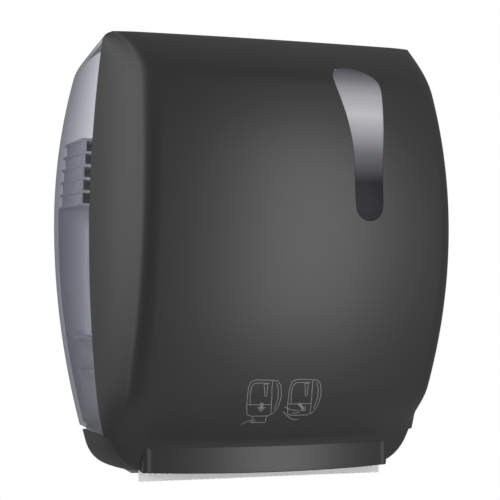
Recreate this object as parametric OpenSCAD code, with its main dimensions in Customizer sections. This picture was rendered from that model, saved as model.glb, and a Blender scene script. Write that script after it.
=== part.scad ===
// Sensor paper towel dispenser, wall hung, with a drop-front cover and a motor feed.
// Millimetres. X right, Y into the wall, Z up. The wall is y = 0 and the front is -Y.
// The origin is the centre of the wall screw pattern.

/* [Paper] */
// Width of the towel, around which the housing is built
roll_w = 212; // [190:1:234]
// Diameter of a full towel roll, around which the housing is built
roll_dia = 164; // [148:2:180]
// Bore of the cardboard core
core_bore = 38.16; // [36:0.02:40]
// Thickness of the towel as modelled
towel_t = 0.5; // [0.4:0.1:0.6]
// Depth of the hanging towel from the wall
towel_y = 91; // [89:1:93]
// Length of towel below the chin
towel_drop = 9; // [4:1:40]

/* [Body] */
// Room from the end of the roll to the side of the housing at the wall
side_room = 57.5; // [54:0.5:64]
// Room from the wall to the back of the roll
back_room = 23; // [21:0.5:26]
// Room from the front of the roll to the front of the housing
front_room = 34; // [31:0.5:38]
// Room from the top of the roll to the highest edge of the housing
top_room = 41.5; // [38:0.5:46]
// Room for the feed, from the bottom of the roll to the foot of the housing
feed_room = 165.5; // [150:0.5:182]
// Wall of the black front cover
cover_wall = 3; // [2:0.25:3.5]
// Wall of the smoked hood
hood_wall = 2.5; // [2:0.25:3]
// Depth from the wall at which hood and cover meet
seam_d = 95; // [92:1:98]
// Fall of the roof from the wall to the front, per millimetre
roof_fall = 0.11; // [0.06:0.01:0.14]

/* [Window] */
// Middle of the window across the front
win_x = 46.8; // [30:0.5:60]
// Half width of the straight foot of the window
win_foot = 12.2; // [8:0.2:14]
// Half width of the head of the window
win_head = 21.2; // [15:0.2:24]
// Height of the centre of the round foot
win_low = 26; // [15:1:40]
// Height of the widest place of the head
win_high = 124; // [110:1:130]
// Rise of the round head above its widest place
win_rise = 15.5; // [8:0.5:20]

/* [Feed] */
// Radius of the rubber feed sleeves
feed_r = 14; // [12:0.5:15]
// Radius of the pinch roller
pinch_r = 9; // [7:0.5:10]
// Height of the nip above the foot of the housing
nip_h = 67.5; // [64:0.5:72]
// Gap between the towel and each roller
nip_gap = 0.35; // [0.3:0.05:0.6]
// Tooth module of the feed gears
gear_mod = 1.25; // [1.1:0.05:1.3]
// Pitch of the tear teeth
tooth_pitch = 5; // [4:0.5:6]

/* [Mounting] */
// Distance of the wall screws across
screw_x = 180; // [150:5:200]
// Distance of the wall screws up and down
screw_z = 190; // [160:5:200]
// Radius of the wall screw holes
screw_r = 2.75; // [2:0.25:3.5]

/* [Fits] */
// Radial clearance of a shaft that turns
run_fit = 0.05; // [0.03:0.01:0.1]
// Clearance of sliding buttons and of the window
slip_fit = 0.3; // [0.25:0.05:0.5]

/* [Hidden] */
$fn = 64;

// Sizes of the housing that follow from the roll
body_w = roll_w + 2 * side_room;
body_h = top_room + roll_dia + feed_room;
body_d = back_room + roll_dia + front_room;
hz = body_h / 2;
z_top = hz;
z_chin = -hz;
roll_y = back_room + roll_dia / 2;
roll_z = z_top - top_room - roll_dia / 2;
nip_z = z_chin + nip_h;

// Shape of the housing: half widths and depths as functions of height
wall_hw = body_w / 2;
crown = 0.1 * body_d;
crease_d = body_d - crown;
crease_fall = 0.7267 * (crease_d - seam_d);
seam_room = 42.5;
crease_room = 19.2;
function wall_w(z) = wall_hw - (z > 25 ? 36 : 25.5) * pow((z - 25) / hz, 2);
function seam_w(z) = roll_w / 2 + seam_room - 13.7 * pow((z - 9) / hz, 2) - 2 * pow(foot_t(z), 2);
function crease_w(z) = roll_w / 2 + crease_room - 5.4 * pow((z + 46) / hz, 2);
foot_in = 26;
foot_bulge = 10.5;
crease_min = seam_d + 5;
function foot_t(z) = let(t = min(1, max(0, (z_chin + 67.5 - z) / 46))) t * t * (3 - 2 * t);
function crease_s(z) =
  let(d = crease_d - crease_fall * pow((z - 22) / hz, 2) - foot_in * foot_t(z) - crease_min)
  crease_min + (d + norm([d, 8])) / 2;
function roof_z(s) = z_top - roof_fall * s;
function mix(a, b, t) = a + (b - a) * t;
function quad(a, b, c, t) = pow(1 - t, 2) * a + 2 * t * (1 - t) * b + t * t * c;

// Smoked hood: arches from the wall to the seam
hood_back = 1.5;
hood_low = z_chin + 31;
hood_n = 10;
hood_c = 7;
hood_t = 4;
hood_m = 5;
hood_cols = 2 * (hood_n + hood_c + hood_t);
function hood_w(s, z) = let(t = (seam_d - s) / seam_d)
  mix(seam_w(z), wall_w(z), 1.5 * t - 0.5 * t * t);
hood_round = 36;
seam_round = 8;
function hood_r(s) = mix(hood_round, seam_round, s / seam_d);
function hood_half(s, k, th) =
  let(r = hood_r(s), zc = roof_z(s) - r)
  k <= hood_n ?
    let(z = mix(hood_low, zc, k / hood_n)) [hood_w(s, z) - th, z] :
  k <= hood_n + hood_c ?
    let(a = 90 * (k - hood_n) / hood_c, z = zc + r * sin(a))
    [hood_w(s, z) - r * (1 - cos(a)) - th * cos(a), z - th * sin(a)] :
    let(u = (k - hood_n - hood_c) / hood_t, x = hood_w(s, roof_z(s)) - r)
    [x * (1 - u), roof_z(s) - th];
function hood_pt(s, k, th) = let(h = hood_cols / 2,
  p = hood_half(s, k <= h ? k : hood_cols - k, th)) [(k <= h ? -1 : 1) * p[0], -s, p[1]];

// Front cover: levels from the rim to the roof, columns from back edge to back edge.
// Below ear_top the flanks run back under the hood as ears.
ear_top = hood_low - 3;
ear_back = 10;
ear_rows = 5;
cov_b = 7;
cov_n = 13;
cov_c = 6;
cov_rows = cov_b + cov_n + cov_c;
col_f = 7;
col_e = 4;
col_w = 7;
half_cols = col_f + col_e + col_w;
cols = 2 * half_cols;
edge_r = 12;
flank_bow = 3.5;
crease_flare = 3;
main_low = hood_low + 4;
function rim_t(s) = min(1, max(0, (s - ear_back) / (seam_d - ear_back)));
function rim_z(s) = z_chin + mix(-3.5, 1, rim_t(s));
function low_r(s) = mix(22, 34, rim_t(s));
function low_x(s) = mix(20, 33, rim_t(s));
function low_a(z, s) = let(c = rim_z(s) + 0.94 * low_r(s))
  -asin(min(1, max(0, (c - z) / low_r(s))));
function back_s(j) = j <= ear_rows ? ear_back : seam_d;
function near_s(j, k) = k > col_f ? (j < cov_b ? 118 : 170) :
  mix(back_s(j), j < cov_b ? 118 : 160, k / col_f);
top_h = 44;
top_back = 0.85;
function top_rz(k) = mix(seam_round, top_h, min(1, k / col_f));
function top_rx(k) = mix(seam_round, -crease_flare, min(1, k / col_f));
function lat(j) = 90 * max(0, j - cov_b - cov_n) / cov_c;
function lev_z(j, k, s) = let(a = lat(j), zt = roof_z(s) - top_rz(k))
  j <= ear_rows ? mix(rim_z(s), ear_top, j / ear_rows) :
  j < cov_b ? ear_top + 0.6 :
  a > 0 ? zt + top_rz(k) * sin(a) : mix(main_low, zt, (j - cov_b) / cov_n);
function tilt(j, k) = lat(j) > 0 ? lat(j) :
  low_a(lev_z(j, k, near_s(j, k)), near_s(j, k));
function cov_half(j, k, th) =
  let(a = tilt(j, k), c = 1 - cos(a), sn = near_s(j, k), z = lev_z(j, k, sn),
    rx = a < 0 ? low_x(sn) : top_rx(k), ry = a < 0 ? 0 : top_back * (crease_s(z) - seam_d),
    in = th * cos(a), b = back_s(j),
    cr = crown * (a > 0 ? mix(1, 0.25, sin(a) * sin(a)) : 1 + 0.5 * a / 70) + foot_bulge * foot_t(z),
    wb = seam_w(z) - rx * c - in, wc = crease_w(z) - rx * c - in,
    dc = crease_s(z) - ry * c - in,
    fl = norm([wc - wb, dc - seam_d]), ux = (wc - wb) / fl, uy = (dc - seam_d) / fl,
    e = min(edge_r - th * 0.6, 0.6 * fl), slope = 2 * cr / wc,
    ax = wc - e * ux, ay = dc - e * uy, bx = wc - e,
    by = dc + cr * (1 - pow(bx / wc, 2)),
    cy = by - slope * (bx / wc) * e, sk = mix(b, ay, k / col_f))
  k <= col_f ? [sk < seam_d ? hood_w(sk, z) - rx * c - in :
    let(u = (sk - seam_d) / (ay - seam_d), bow = flank_bow * pow(fl / seam_d, 2))
    mix(wb, ax, u) + 4 * bow * u * (1 - u), sk] :
  k <= col_f + col_e ?
    let(t = (k - col_f) / col_e) [quad(ax, wc, bx, t), quad(ay, max(dc, cy), by, t)] :
    let(x = bx * (1 - (k - col_f - col_e) / col_w)) [x, dc + cr * (1 - pow(x / wc, 2))];
function cov_pt(j, k, th) =
  let(h = half_cols, m = k <= h ? k : cols - k, p = cov_half(j, m, th), a = tilt(j, m), n = near_s(j, m),
    z0 = a >= 90 ? roof_z(p[1]) : lev_z(j, m, mix(n, p[1], a > 0 ? sin(a) : 0)))
  [(k <= h ? -1 : 1) * p[0], -p[1], z0 - th * sin(a)];

// Grid of two skins closed along its rims
function skin(n, m, o, flip) = [for (j = [0:n - 1], i = [0:m - 1])
  let(a = o + j * (m + 1) + i, b = a + 1, c = b + m + 1, d = a + m + 1)
  each flip ? [[a, c, b], [a, d, c]] : [[a, b, c], [a, c, d]]];
function strip(p, q, flip) = [for (i = [0:len(p) - 2])
  each flip ? [[p[i], q[i + 1], p[i + 1]], [p[i], q[i], q[i + 1]]] :
  [[p[i], p[i + 1], q[i + 1]], [p[i], q[i + 1], q[i]]]];

module hood_shell() {
  w = hood_cols;
  n = (w + 1) * (hood_m + 1);
  s = [for (j = [0:hood_m]) mix(hood_back, seam_d, j / hood_m)];
  pts = [for (th = [0, hood_wall], j = [0:hood_m], k = [0:w]) hood_pt(s[j], k, th)];
  lo = [for (k = [0:w]) k];
  hi = [for (k = [0:w]) hood_m * (w + 1) + k];
  lf = [for (j = [0:hood_m]) j * (w + 1)];
  rt = [for (j = [0:hood_m]) j * (w + 1) + w];
  sh = [for (i = lo) i + n];
  polyhedron(pts, concat(skin(hood_m, w, 0, false), skin(hood_m, w, n, true),
    strip(lo, [for (i = lo) i + n], true), strip(hi, [for (i = hi) i + n], false),
    strip(lf, [for (i = lf) i + n], false), strip(rt, [for (i = rt) i + n], true)));
}

module cover_shell(t0, t1) {
  w = cols;
  r = cov_rows;
  n = (w + 1) * (r + 1);
  pts = [for (th = [t0, t1], j = [0:r], k = [0:w]) cov_pt(j, k, th)];
  lo = [for (k = [0:w]) k];
  lf = [for (j = [0:r]) j * (w + 1)];
  rt = [for (j = [0:r]) j * (w + 1) + w];
  a = r * (w + 1);
  roof_l = [for (k = [0:half_cols - 1]) a + k];
  roof_r = [for (k = [0:half_cols - 1]) a + w - k];
  tip = a + half_cols;
  back = [a, a + w];
  polyhedron(pts, concat(skin(r, w, 0, true), skin(r, w, n, false),
    strip(roof_l, roof_r, true), [[tip - 1, tip + 1, tip]],
    strip([for (i = roof_l) i + n], [for (i = roof_r) i + n], false), [[n + tip - 1, n + tip, n + tip + 1]],
    strip(lo, [for (i = lo) i + n], false), strip(lf, [for (i = lf) i + n], true),
    strip(rt, [for (i = rt) i + n], false), strip(back, [for (i = back) i + n], true)));
}

// Window outline on the front, in x and z
win_n = 12;
function win_hw(z, g) = win_foot - g + (z <= 50 ? 0 :
  (win_head - win_foot) * pow((z - 50) / (win_high - 50), 1.7));
function win_mid(z) = win_x + 2 * sin(180 * max(0, (z - 50) / (win_high - 50)));
function win_line(g) = concat(
  [for (i = [0:win_n]) let(a = 180 + 180 * i / win_n)
    [win_x + (win_foot - g) * cos(a), win_low + (win_foot - g) * sin(a)]],
  [for (i = [1:win_n]) let(z = mix(win_low, win_high, i / win_n)) [win_mid(z) + win_hw(z, g), z]],
  [for (i = [1:win_n - 1]) let(a = 180 * i / win_n)
    [win_x + (win_head - g) * cos(a) - 5 * sin(a), win_high + (win_rise - g) * sin(a)]],
  [for (i = [win_n:-1:1]) let(z = mix(win_low, win_high, i / win_n)) [win_mid(z) - win_hw(z, g), z]]);
module win_prism(g) {
  translate([0, -crease_d + 60, 0])
    rotate([90, 0, 0])
      linear_extrude(crown + 100)
        polygon(win_line(g));
}

// Hinge and lock places
hinge_y = -30;
hinge_z = z_chin + 13.5;
hinge_pin_r = 3;
frame_in = roll_w / 2 + 2;
frame_t = 2.5;
frame_out = frame_in + frame_t;
arm_in = frame_out + 1.5;
arm_out = arm_in + 5;
plate_hw = wall_hw - 29.5;
plate_t = 4;
plate_low = z_chin - 5;
lock_y = -60;
lock_z = roof_z(-lock_y) + 0.5;
lock_boss_r = 14;
lock_body_r = 9;
lock_lip_r = 12;

// Feed places
feed_y = -towel_y + towel_t / 2 + nip_gap + feed_r;
pinch_y = -towel_y - towel_t / 2 - nip_gap - pinch_r;
feed_core_r = feed_r - 3;
shaft_r = 4;
pinch_axle_r = 3;
drive_teeth = 32;
idler_teeth = 20;
pinion_teeth = 12;
mesh_gap = 0.1;
train_dir = 45;
idler_c = gear_mod * (drive_teeth + idler_teeth) / 2 + mesh_gap;
pinion_c = gear_mod * (idler_teeth + pinion_teeth) / 2 + mesh_gap;
idler_y = feed_y + idler_c * cos(train_dir);
idler_z = nip_z + idler_c * sin(train_dir);
motor_y = idler_y + pinion_c * cos(train_dir);
motor_z = idler_z + pinion_c * sin(train_dir);
motor_r = 17.5;
gear_x = frame_out + 2;
gear_t = 7;
idler_pin_r = 3;
motor_shaft_r = 2;

// Roll holder places
roll_r = roll_dia / 2;
hub_r = core_bore / 2 - run_fit - 0.03;
arm_x = wall_hw - 30.5;
arm_t = 4;
post_r = 8;
flange_x = roll_w / 2 + 2;
flange_t = 3;
flange_r = 26;
boss_r = 12;
boss_end = arm_x - 13;
hub_nose = flange_x - 11;
spring_r = 15;
wire_r = 0.7;
spring_turns = 6;

// Chin of the cover, and the exit behind it
chin_hw = roll_w / 2 + 0.5;
chin_front = seam_d + 0.3561 * (crease_d - seam_d);
chin_sag = 24;
chin_wall = 3;
chin_r = (chin_hw * chin_hw + chin_sag * chin_sag) / (2 * chin_sag);
chin_lip = z_chin + 21.5;
exit_back = towel_y + 6;
chin_back = exit_back + 1;
chin_round = 6;
exit_hw = chin_hw - 3.5;
exit_front = chin_front - chin_wall - 4;
exit_r = chin_r - chin_wall - 4;
exit_low = z_chin + 1.5;
exit_wall = 2.5;
exit_top = z_chin + 19;
guide_t = 2.5;
slot_back = 6;
exit_tab = z_chin + 50;
tray_front = towel_y - 7;
sensor_s = (exit_front + exit_back) / 2 + 1;
led_x = 24;
lens_r = (exit_front - exit_back) / 2 - 5;
led_r = 2.5;
seat_gap = 0.1;

// Battery box places
box_l = -frame_in + 5;
box_r = box_l + 144;
box_front = 48;
box_low = nip_z + feed_r + 8;
box_high = box_low + 78;
box_wall = 2;
cell_r = 16.6;
cell_len = 61.5;
lid_pivot_y = -box_front - 2;
lid_pivot_z = box_low + 1;
lid_t = 2;

// Control panel places
panel_l = box_r + 6;
panel_low = motor_z + motor_r + 3;
panel_high = box_high + 2;
panel_y = -48;
panel_t = 2;
panel_mid = (panel_l + frame_in) / 2;
button_x = panel_l + 11;
switch_x = frame_in - 19;
ctrl_z = (panel_low + panel_high) / 2;
select_z = ctrl_z + 11;
switch_z = ctrl_z - 12;
button_r = 6;

// Round corner outline, as points
function corner(cx, cz, r, a0, n) = [for (i = [0:n]) let(a = a0 + 90 * i / n)
  [cx + r * cos(a), cz + r * sin(a)]];
function rounded(x0, x1, z0, z1, rl, rh, n) = concat(
  corner(x1 - rh, z1 - rh, rh, 0, n), corner(x0 + rh, z1 - rh, rh, 90, n),
  corner(x0 + rl, z0 + rl, rl, 180, n), corner(x1 - rl, z0 + rl, rl, 270, n));

// Involute gear outline
press_ang = 20;
tooth_fill = 0.82;
function inv_at(r, rb) = r <= rb ? 0 : let(t = sqrt(pow(r / rb, 2) - 1)) t * 180 / PI - atan(t);
function flank_at(r, rb, teeth) = let(rp = gear_mod * teeth / 2)
  90 / teeth * tooth_fill + inv_at(rp, rb) - inv_at(max(r, rb), rb);
function gear_line(teeth) =
  let(rp = gear_mod * teeth / 2, rb = rp * cos(press_ang), ra = rp + 0.85 * gear_mod,
    rf = rp - 1.2 * gear_mod, rs = [rf, max(rb, rf + 0.1), rp, ra])
  [for (i = [0:teeth - 1], q = [0:7])
    let(r = rs[q < 4 ? q : 7 - q], a = 360 * i / teeth + (q < 4 ? -1 : 1) * flank_at(r, rb, teeth))
    [r * cos(a), r * sin(a)]];

module along_x(x0, x1, r, y, z) {
  translate([x0, y, z])
    rotate([0, 90, 0])
      cylinder(r = r, h = x1 - x0);
}

module side_plate(x0, x1) {
  translate([x0, 0, 0])
    rotate([90, 0, 90])
      linear_extrude(x1 - x0)
        children();
}

module block(x0, x1, y0, y1, z0, z1) {
  translate([x0, y0, z0])
    cube([x1 - x0, y1 - y0, z1 - z0]);
}

module flip_x(on) {
  mirror([on ? 1 : 0, 0, 0])
    children();
}

// Wings of the wall plate, which fill the lower part of the hood
wing_low = z_chin + 33;
wing_top = roll_z - 27;
wing_mid = mix(wing_low, wing_top, 0.39);
wing_rib = 12;
wing_gap = hood_wall + 1.5;
wing_n = 10;
head_hw = roll_w / 2 + 6;
head_low = roll_z + 38;
function wing_side(s) = [for (i = [0:wing_n])
  let(z = mix(wing_low, wing_top, (s > 0 ? i : wing_n - i) / wing_n)) [s * (wall_w(z) - wing_gap), z]];
function wing_line() = concat(wing_side(1), wing_side(-1));

module back_plate() {
  color("DimGray")
    difference() {
      union() {
        rotate([90, 0, 0])
          linear_extrude(plate_t)
            union() {
              polygon(rounded(-plate_hw, plate_hw, plate_low, head_low, 26, 8, 8));
              polygon(rounded(-head_hw, head_hw, head_low - 30, z_top - 14, 8, 34, 8));
              polygon(wing_line());
            }
        for (s = [-1, 1], z = [wing_low + 43, wing_mid])
          block(s > 0 ? plate_hw - 6 : 10 - wall_w(z), s > 0 ? wall_w(z) - 10 : 6 - plate_hw,
            -plate_t - wing_rib, -plate_t + 0.5, z, z + 2.5);
        for (z = [roll_z - 40, roll_z + 36])
          block(-arm_x + 34, arm_x - 34, -plate_t - 5, -plate_t + 0.5, z, z + 2.5);
        for (x = [-58, 55])
          block(x, x + 2.5, -plate_t - 5, -plate_t + 0.5, roll_z - 40, z_top - 40);
      }
      for (x = [-1, 1], z = [-1, 1])
        translate([x * screw_x / 2, 1, z * screw_z / 2])
          rotate([90, 0, 0])
            cylinder(r = screw_r, h = plate_t + 2);
    }
}

module hinge_pin(right) {
  color("Silver")
    flip_x(!right)
      along_x(frame_in, arm_out + 1, hinge_pin_r, hinge_y, hinge_z);
}
module hinge_pin_left() { hinge_pin(false); }
module hinge_pin_right() { hinge_pin(true); }

module frame_profile() {
  low = z_chin + 0.5;
  polygon([[-plate_t, low], [-towel_y + 41, low], [-towel_y + 9, low + 10], [-towel_y + 9, low + 20],
    [-towel_y - 2, low + 34], [pinch_y - 8, low + 40], [pinch_y - 8, nip_z + 10],
    [feed_y, nip_z + 24], [motor_y - 20, motor_z + 14], [motor_y - 20, panel_high],
    [-plate_t, panel_high]]);
}

module side_frame(right) {
  color("LightGray")
    flip_x(!right)
      difference() {
        side_plate(frame_in, frame_out)
          frame_profile();
        along_x(frame_in - 1, frame_out + 1, shaft_r + 3, feed_y, nip_z);
        along_x(frame_in - 1, frame_out + 1, pinch_axle_r + run_fit, pinch_y, nip_z);
        along_x(frame_in - 1, frame_out + 1, hinge_pin_r, hinge_y, hinge_z);
        if (right) {
          along_x(frame_in - 1, frame_out + 1, idler_pin_r, idler_y, idler_z);
          along_x(frame_in - 1, frame_out + 1, 6, motor_y, motor_z);
        }
      }
}
module side_frame_left() { side_frame(false); }
module side_frame_right() { side_frame(true); }

socket_x = frame_in - 24;
module bottom_tray() {
  color("DimGray")
    difference() {
      block(-frame_out, frame_out, -tray_front, -plate_t, z_chin - 2.5, z_chin + 0.5);
      block(socket_x - 8.5, socket_x + 8.5, -43, 0, z_chin - 5, z_chin + 5);
    }
}

module rear_guide() {
  color("LightGray")
    union() {
      block(-frame_in, frame_in, -towel_y + slot_back, -towel_y + slot_back + 2,
        z_chin + 5, nip_z - feed_r - 2);
      for (x = [-80:40:80])
        block(x - 1, x + 1, -towel_y + slot_back + 1, -towel_y + slot_back + 11,
          z_chin + 8, nip_z - feed_r - 6);
    }
}

module exit_housing() {
  color("DimGray")
    difference() {
      union() {
        intersection() {
          translate([0, -exit_front + exit_r, exit_low])
            difference() {
              cylinder(r = exit_r, h = exit_top - exit_low, $fn = 128);
              translate([0, 0, exit_wall])
                cylinder(r = exit_r - exit_wall, h = exit_top - exit_low, $fn = 128);
            }
          block(-exit_hw, exit_hw, -exit_front - 2, -exit_back + 1, exit_low - 1, exit_top + 1);
        }
        block(-exit_hw, exit_hw, -exit_back, -exit_back + guide_t, exit_low, exit_tab);
        for (x = [-frame_in, exit_hw - 1])
          block(x, x + frame_in - exit_hw + 1, -exit_back, -exit_back + guide_t,
            exit_tab - 14, exit_tab);
      }
      translate([0, -sensor_s, exit_low - 1])
        cylinder(r = lens_r + seat_gap, h = 6);
      translate([led_x, -sensor_s, exit_low - 1])
        cylinder(r = led_r + seat_gap, h = 6);
    }
}

module tear_bar() {
  n = floor(2 * exit_hw / tooth_pitch);
  x0 = -n * tooth_pitch / 2;
  valley = z_chin + 1.5;
  tip = z_chin - 3.5;
  pts = concat([[-x0, z_chin + 16], [x0, z_chin + 16]],
    [for (i = [0:n - 1]) each [[x0 + i * tooth_pitch, valley], [x0 + (i + 0.5) * tooth_pitch, tip]]],
    [[-x0, valley]]);
  color("Silver")
    translate([0, -exit_back + guide_t + 1, 0])
      rotate([90, 0, 0])
        linear_extrude(1)
          polygon(pts);
}

// Ribbed shoulder and gusset beside each roll arm
rib_n = 5;
rib_pitch = 11;
rib_t = 2;
rib_low = roll_z - 28;
rib_s = 58;
rib_gap = hood_wall + 1.5;
rib_step = 2;
gusset_low = roll_z - 138;
gusset_d = 45;
gusset_t = 2.5;
function rib_x(s, i) = hood_w(s, rib_low + i * rib_pitch + rib_t) - rib_gap;
function rib_wall(i) = [for (d = [rib_step, 2 * rib_step])
  [rib_x(plate_t, i + 1) - d, rib_x(rib_s, i + 1) - d]];
module shoulder() {
  for (i = [0:rib_n])
    translate([0, 0, rib_low + i * rib_pitch])
      linear_extrude(rib_t)
        polygon([[arm_x + 1, -plate_t], [rib_x(plate_t, i), -plate_t], [rib_x(rib_s, i), -rib_s],
          [arm_x + 1, -rib_s]]);
  for (i = [0:rib_n - 1])
    let(w = rib_wall(i))
    translate([0, 0, rib_low + i * rib_pitch])
      linear_extrude(rib_pitch + rib_t)
        polygon([[w[0][0], -plate_t], [w[0][1], -rib_s], [w[1][1], -rib_s], [w[1][0], -plate_t]]);
  side_plate(arm_x, arm_x + gusset_t)
    polygon([[-plate_t, rib_low + 1], [-plate_t, gusset_low], [-gusset_d, gusset_low],
      [-plate_t - 8, rib_low + 1]]);
}

module roll_arm(right) {
  tip_r = 17;
  color("WhiteSmoke")
    flip_x(!right)
      union() {
        side_plate(arm_x, arm_x + arm_t)
          union() {
            polygon([[-plate_t, roll_z - 28], [-roll_y, roll_z - tip_r], [-roll_y, roll_z + tip_r],
              [-plate_t, roll_z + 30]]);
            translate([-roll_y, roll_z])
              circle(r = tip_r);
          }
        block(arm_x - 12, arm_x + 12, -plate_t - 4, -plate_t, roll_z - 28, roll_z + 30);
        shoulder();
      }
}
module roll_arm_left() { roll_arm(false); }
module roll_arm_right() { roll_arm(true); }

module hub_left() {
  color("WhiteSmoke")
    union() {
      along_x(-arm_x, -flange_x, 10, -roll_y, roll_z);
      along_x(-flange_x - flange_t, -flange_x, flange_r, -roll_y, roll_z);
      along_x(-flange_x - 0.5, -hub_nose, hub_r, -roll_y, roll_z);
      translate([-hub_nose, -roll_y, roll_z])
        rotate([0, 90, 0])
          cylinder(r1 = hub_r, r2 = hub_r - 4, h = 6);
    }
}

module hub_post() {
  color("WhiteSmoke")
    along_x(flange_x, arm_x, post_r, -roll_y, roll_z);
}

module hub_right() {
  color("WhiteSmoke")
    difference() {
      union() {
        along_x(hub_nose, flange_x + 0.5, hub_r, -roll_y, roll_z);
        along_x(flange_x, flange_x + flange_t, flange_r, -roll_y, roll_z);
        along_x(flange_x + flange_t - 0.5, boss_end, boss_r, -roll_y, roll_z);
      }
      along_x(hub_nose - 1, boss_end + 1, post_r + run_fit, -roll_y, roll_z);
    }
}

// Helix as one tube of many short rings
coil_step = 16;
coil_side = 6;
spring_x0 = flange_x + flange_t + wire_r + 0.1;
spring_x1 = arm_x - wire_r - 0.1;
coil_rings = spring_turns * coil_step;
function coil_pt(i, k) = let(t = i / coil_step * 360, b = k * 360 / coil_side, q = spring_r + wire_r * cos(b))
  [mix(spring_x0, spring_x1, i / coil_rings) + wire_r * sin(b), -roll_y + q * cos(t), roll_z + q * sin(t)];
module hub_spring() {
  n = coil_rings;
  m = coil_side;
  pts = [for (i = [0:n], k = [0:m - 1]) coil_pt(i, k)];
  tube = [for (i = [0:n - 1], k = [0:m - 1])
    let(a = i * m + k, b = i * m + (k + 1) % m) each [[a, a + m, b + m], [a, b + m, b]]];
  color("Silver")
    polyhedron(pts, concat(tube, [[for (k = [0:m - 1]) k]], [[for (k = [m - 1:-1:0]) n * m + k]]));
}
echo(spring_self_gap = (spring_x1 - spring_x0) / spring_turns - 2 * wire_r);

module roll_core() {
  color("Tan")
    difference() {
      along_x(-roll_w / 2, roll_w / 2, core_bore / 2 + 1.9, -roll_y, roll_z);
      along_x(-roll_w / 2 - 1, roll_w / 2 + 1, core_bore / 2, -roll_y, roll_z);
    }
}

module paper_roll() {
  color("White")
    difference() {
      along_x(-roll_w / 2, roll_w / 2, roll_r, -roll_y, roll_z);
      along_x(-roll_w / 2 - 1, roll_w / 2 + 1, core_bore / 2 + 1.9, -roll_y, roll_z);
    }
}

// Towel: wraps the roll, leaves it in front and runs down through the nip
tail_r = roll_r + 0.4;
tail_bend = nip_z + 8;
tail_dy = -towel_y + roll_y;
tail_dz = tail_bend - roll_z;
tail_len = norm([tail_dy, tail_dz]);
tail_ang = atan2(tail_dz, tail_dy) - acos((tail_r + towel_t / 2) / tail_len);
tail_n = 10;
function tail_arc(r) = [for (i = [0:tail_n]) let(a = tail_ang - 60 * (1 - i / tail_n))
  [-roll_y + r * cos(a), roll_z + r * sin(a)]];
module towel_tail() {
  inner = tail_arc(tail_r);
  outer = tail_arc(tail_r + towel_t);
  h = towel_t / 2;
  low = z_chin - towel_drop;
  color("White")
    side_plate(-roll_w / 2, roll_w / 2)
      polygon(concat(inner, [[-towel_y + h, tail_bend + h * 0.6], [-towel_y + h, low],
        [-towel_y - h, low], [-towel_y - h, tail_bend - h * 0.6]],
        [for (i = [tail_n:-1:0]) outer[i]]));
}

module feed_bush(right) {
  color("Ivory")
    flip_x(!right)
      difference() {
        union() {
          along_x(frame_in - 2, frame_out, shaft_r + 3, feed_y, nip_z);
          along_x(frame_in - 2, frame_in, shaft_r + 5, feed_y, nip_z);
        }
        along_x(frame_in - 3, frame_out + 1, shaft_r + run_fit, feed_y, nip_z);
      }
}
module feed_bush_left() { feed_bush(false); }
module feed_bush_right() { feed_bush(true); }

module feed_roller() {
  color("DarkGray")
    union() {
      along_x(-roll_w / 2 + 2, roll_w / 2 - 2, feed_core_r, feed_y, nip_z);
      along_x(-frame_out - 1.5, gear_x + gear_t + 1, shaft_r, feed_y, nip_z);
    }
}

module feed_sleeve(x0, x1) {
  color("DarkSlateGray")
    difference() {
      along_x(x0, x1, feed_r, feed_y, nip_z);
      along_x(x0 - 1, x1 + 1, feed_core_r, feed_y, nip_z);
    }
}
sleeve_w = roll_w / 4;
module feed_sleeve_left() { feed_sleeve(-sleeve_w - 42, -42); }
module feed_sleeve_middle() { feed_sleeve(-sleeve_w / 2, sleeve_w / 2); }
module feed_sleeve_right() { feed_sleeve(42, sleeve_w + 42); }

module pinch_roller() {
  color("DarkSlateGray")
    union() {
      along_x(-roll_w / 2 + 6, roll_w / 2 - 6, pinch_r, pinch_y, nip_z);
      along_x(-frame_out, frame_out, pinch_axle_r, pinch_y, nip_z);
    }
}

module spur(teeth, turn, y, z, x0, x1, bore) {
  difference() {
    translate([0, y, z])
      side_plate(x0, x1)
        rotate(turn)
          polygon(gear_line(teeth));
    if (bore > 0)
      along_x(x0 - 1, x1 + 1, bore, y, z);
  }
}

module drive_gear() {
  color("Ivory")
    spur(drive_teeth, train_dir, feed_y, nip_z, gear_x, gear_x + gear_t, shaft_r);
}

module idler_pin() {
  color("Silver")
    along_x(frame_in, gear_x + gear_t + 1, idler_pin_r, idler_y, idler_z);
}

module idler_gear() {
  color("Ivory")
    spur(idler_teeth, train_dir + 180 + 180 / idler_teeth, idler_y, idler_z, gear_x, gear_x + gear_t,
      idler_pin_r + run_fit);
}

module motor() {
  color("Gray")
    difference() {
      union() {
        along_x(panel_l + 3, frame_in, motor_r, motor_y, motor_z);
        along_x(panel_l - 2, panel_l + 4, 6, motor_y, motor_z);
      }
      along_x(frame_in - 16, frame_in + 1, motor_shaft_r + run_fit, motor_y, motor_z);
    }
}

module motor_pinion() {
  color("Goldenrod")
    union() {
      spur(pinion_teeth, train_dir + 180, motor_y, motor_z, gear_x, gear_x + gear_t, 0);
      along_x(frame_in - 14, gear_x + 1, motor_shaft_r, motor_y, motor_z);
    }
}

module battery_box() {
  color("DimGray")
    difference() {
      union() {
        difference() {
          block(box_l, box_r, -box_front, -plate_t, box_low, box_high);
          for (k = [0, 1])
            block(box_l + box_wall, box_r - box_wall, -box_front - 1, -plate_t - box_wall,
              box_low + box_wall + k * (box_high - box_low - box_wall) / 2,
              box_low + (k + 1) * (box_high - box_low - box_wall) / 2);
        }
        for (x = [box_l - 2.5, box_r])
          block(x, x + 2.5, lid_pivot_y - 3, -box_front + 6, box_low - 2, box_low + 5);
      }
      along_x(box_l - 3, box_r + 3, 1.5 + run_fit, lid_pivot_y, lid_pivot_z);
    }
}

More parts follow.
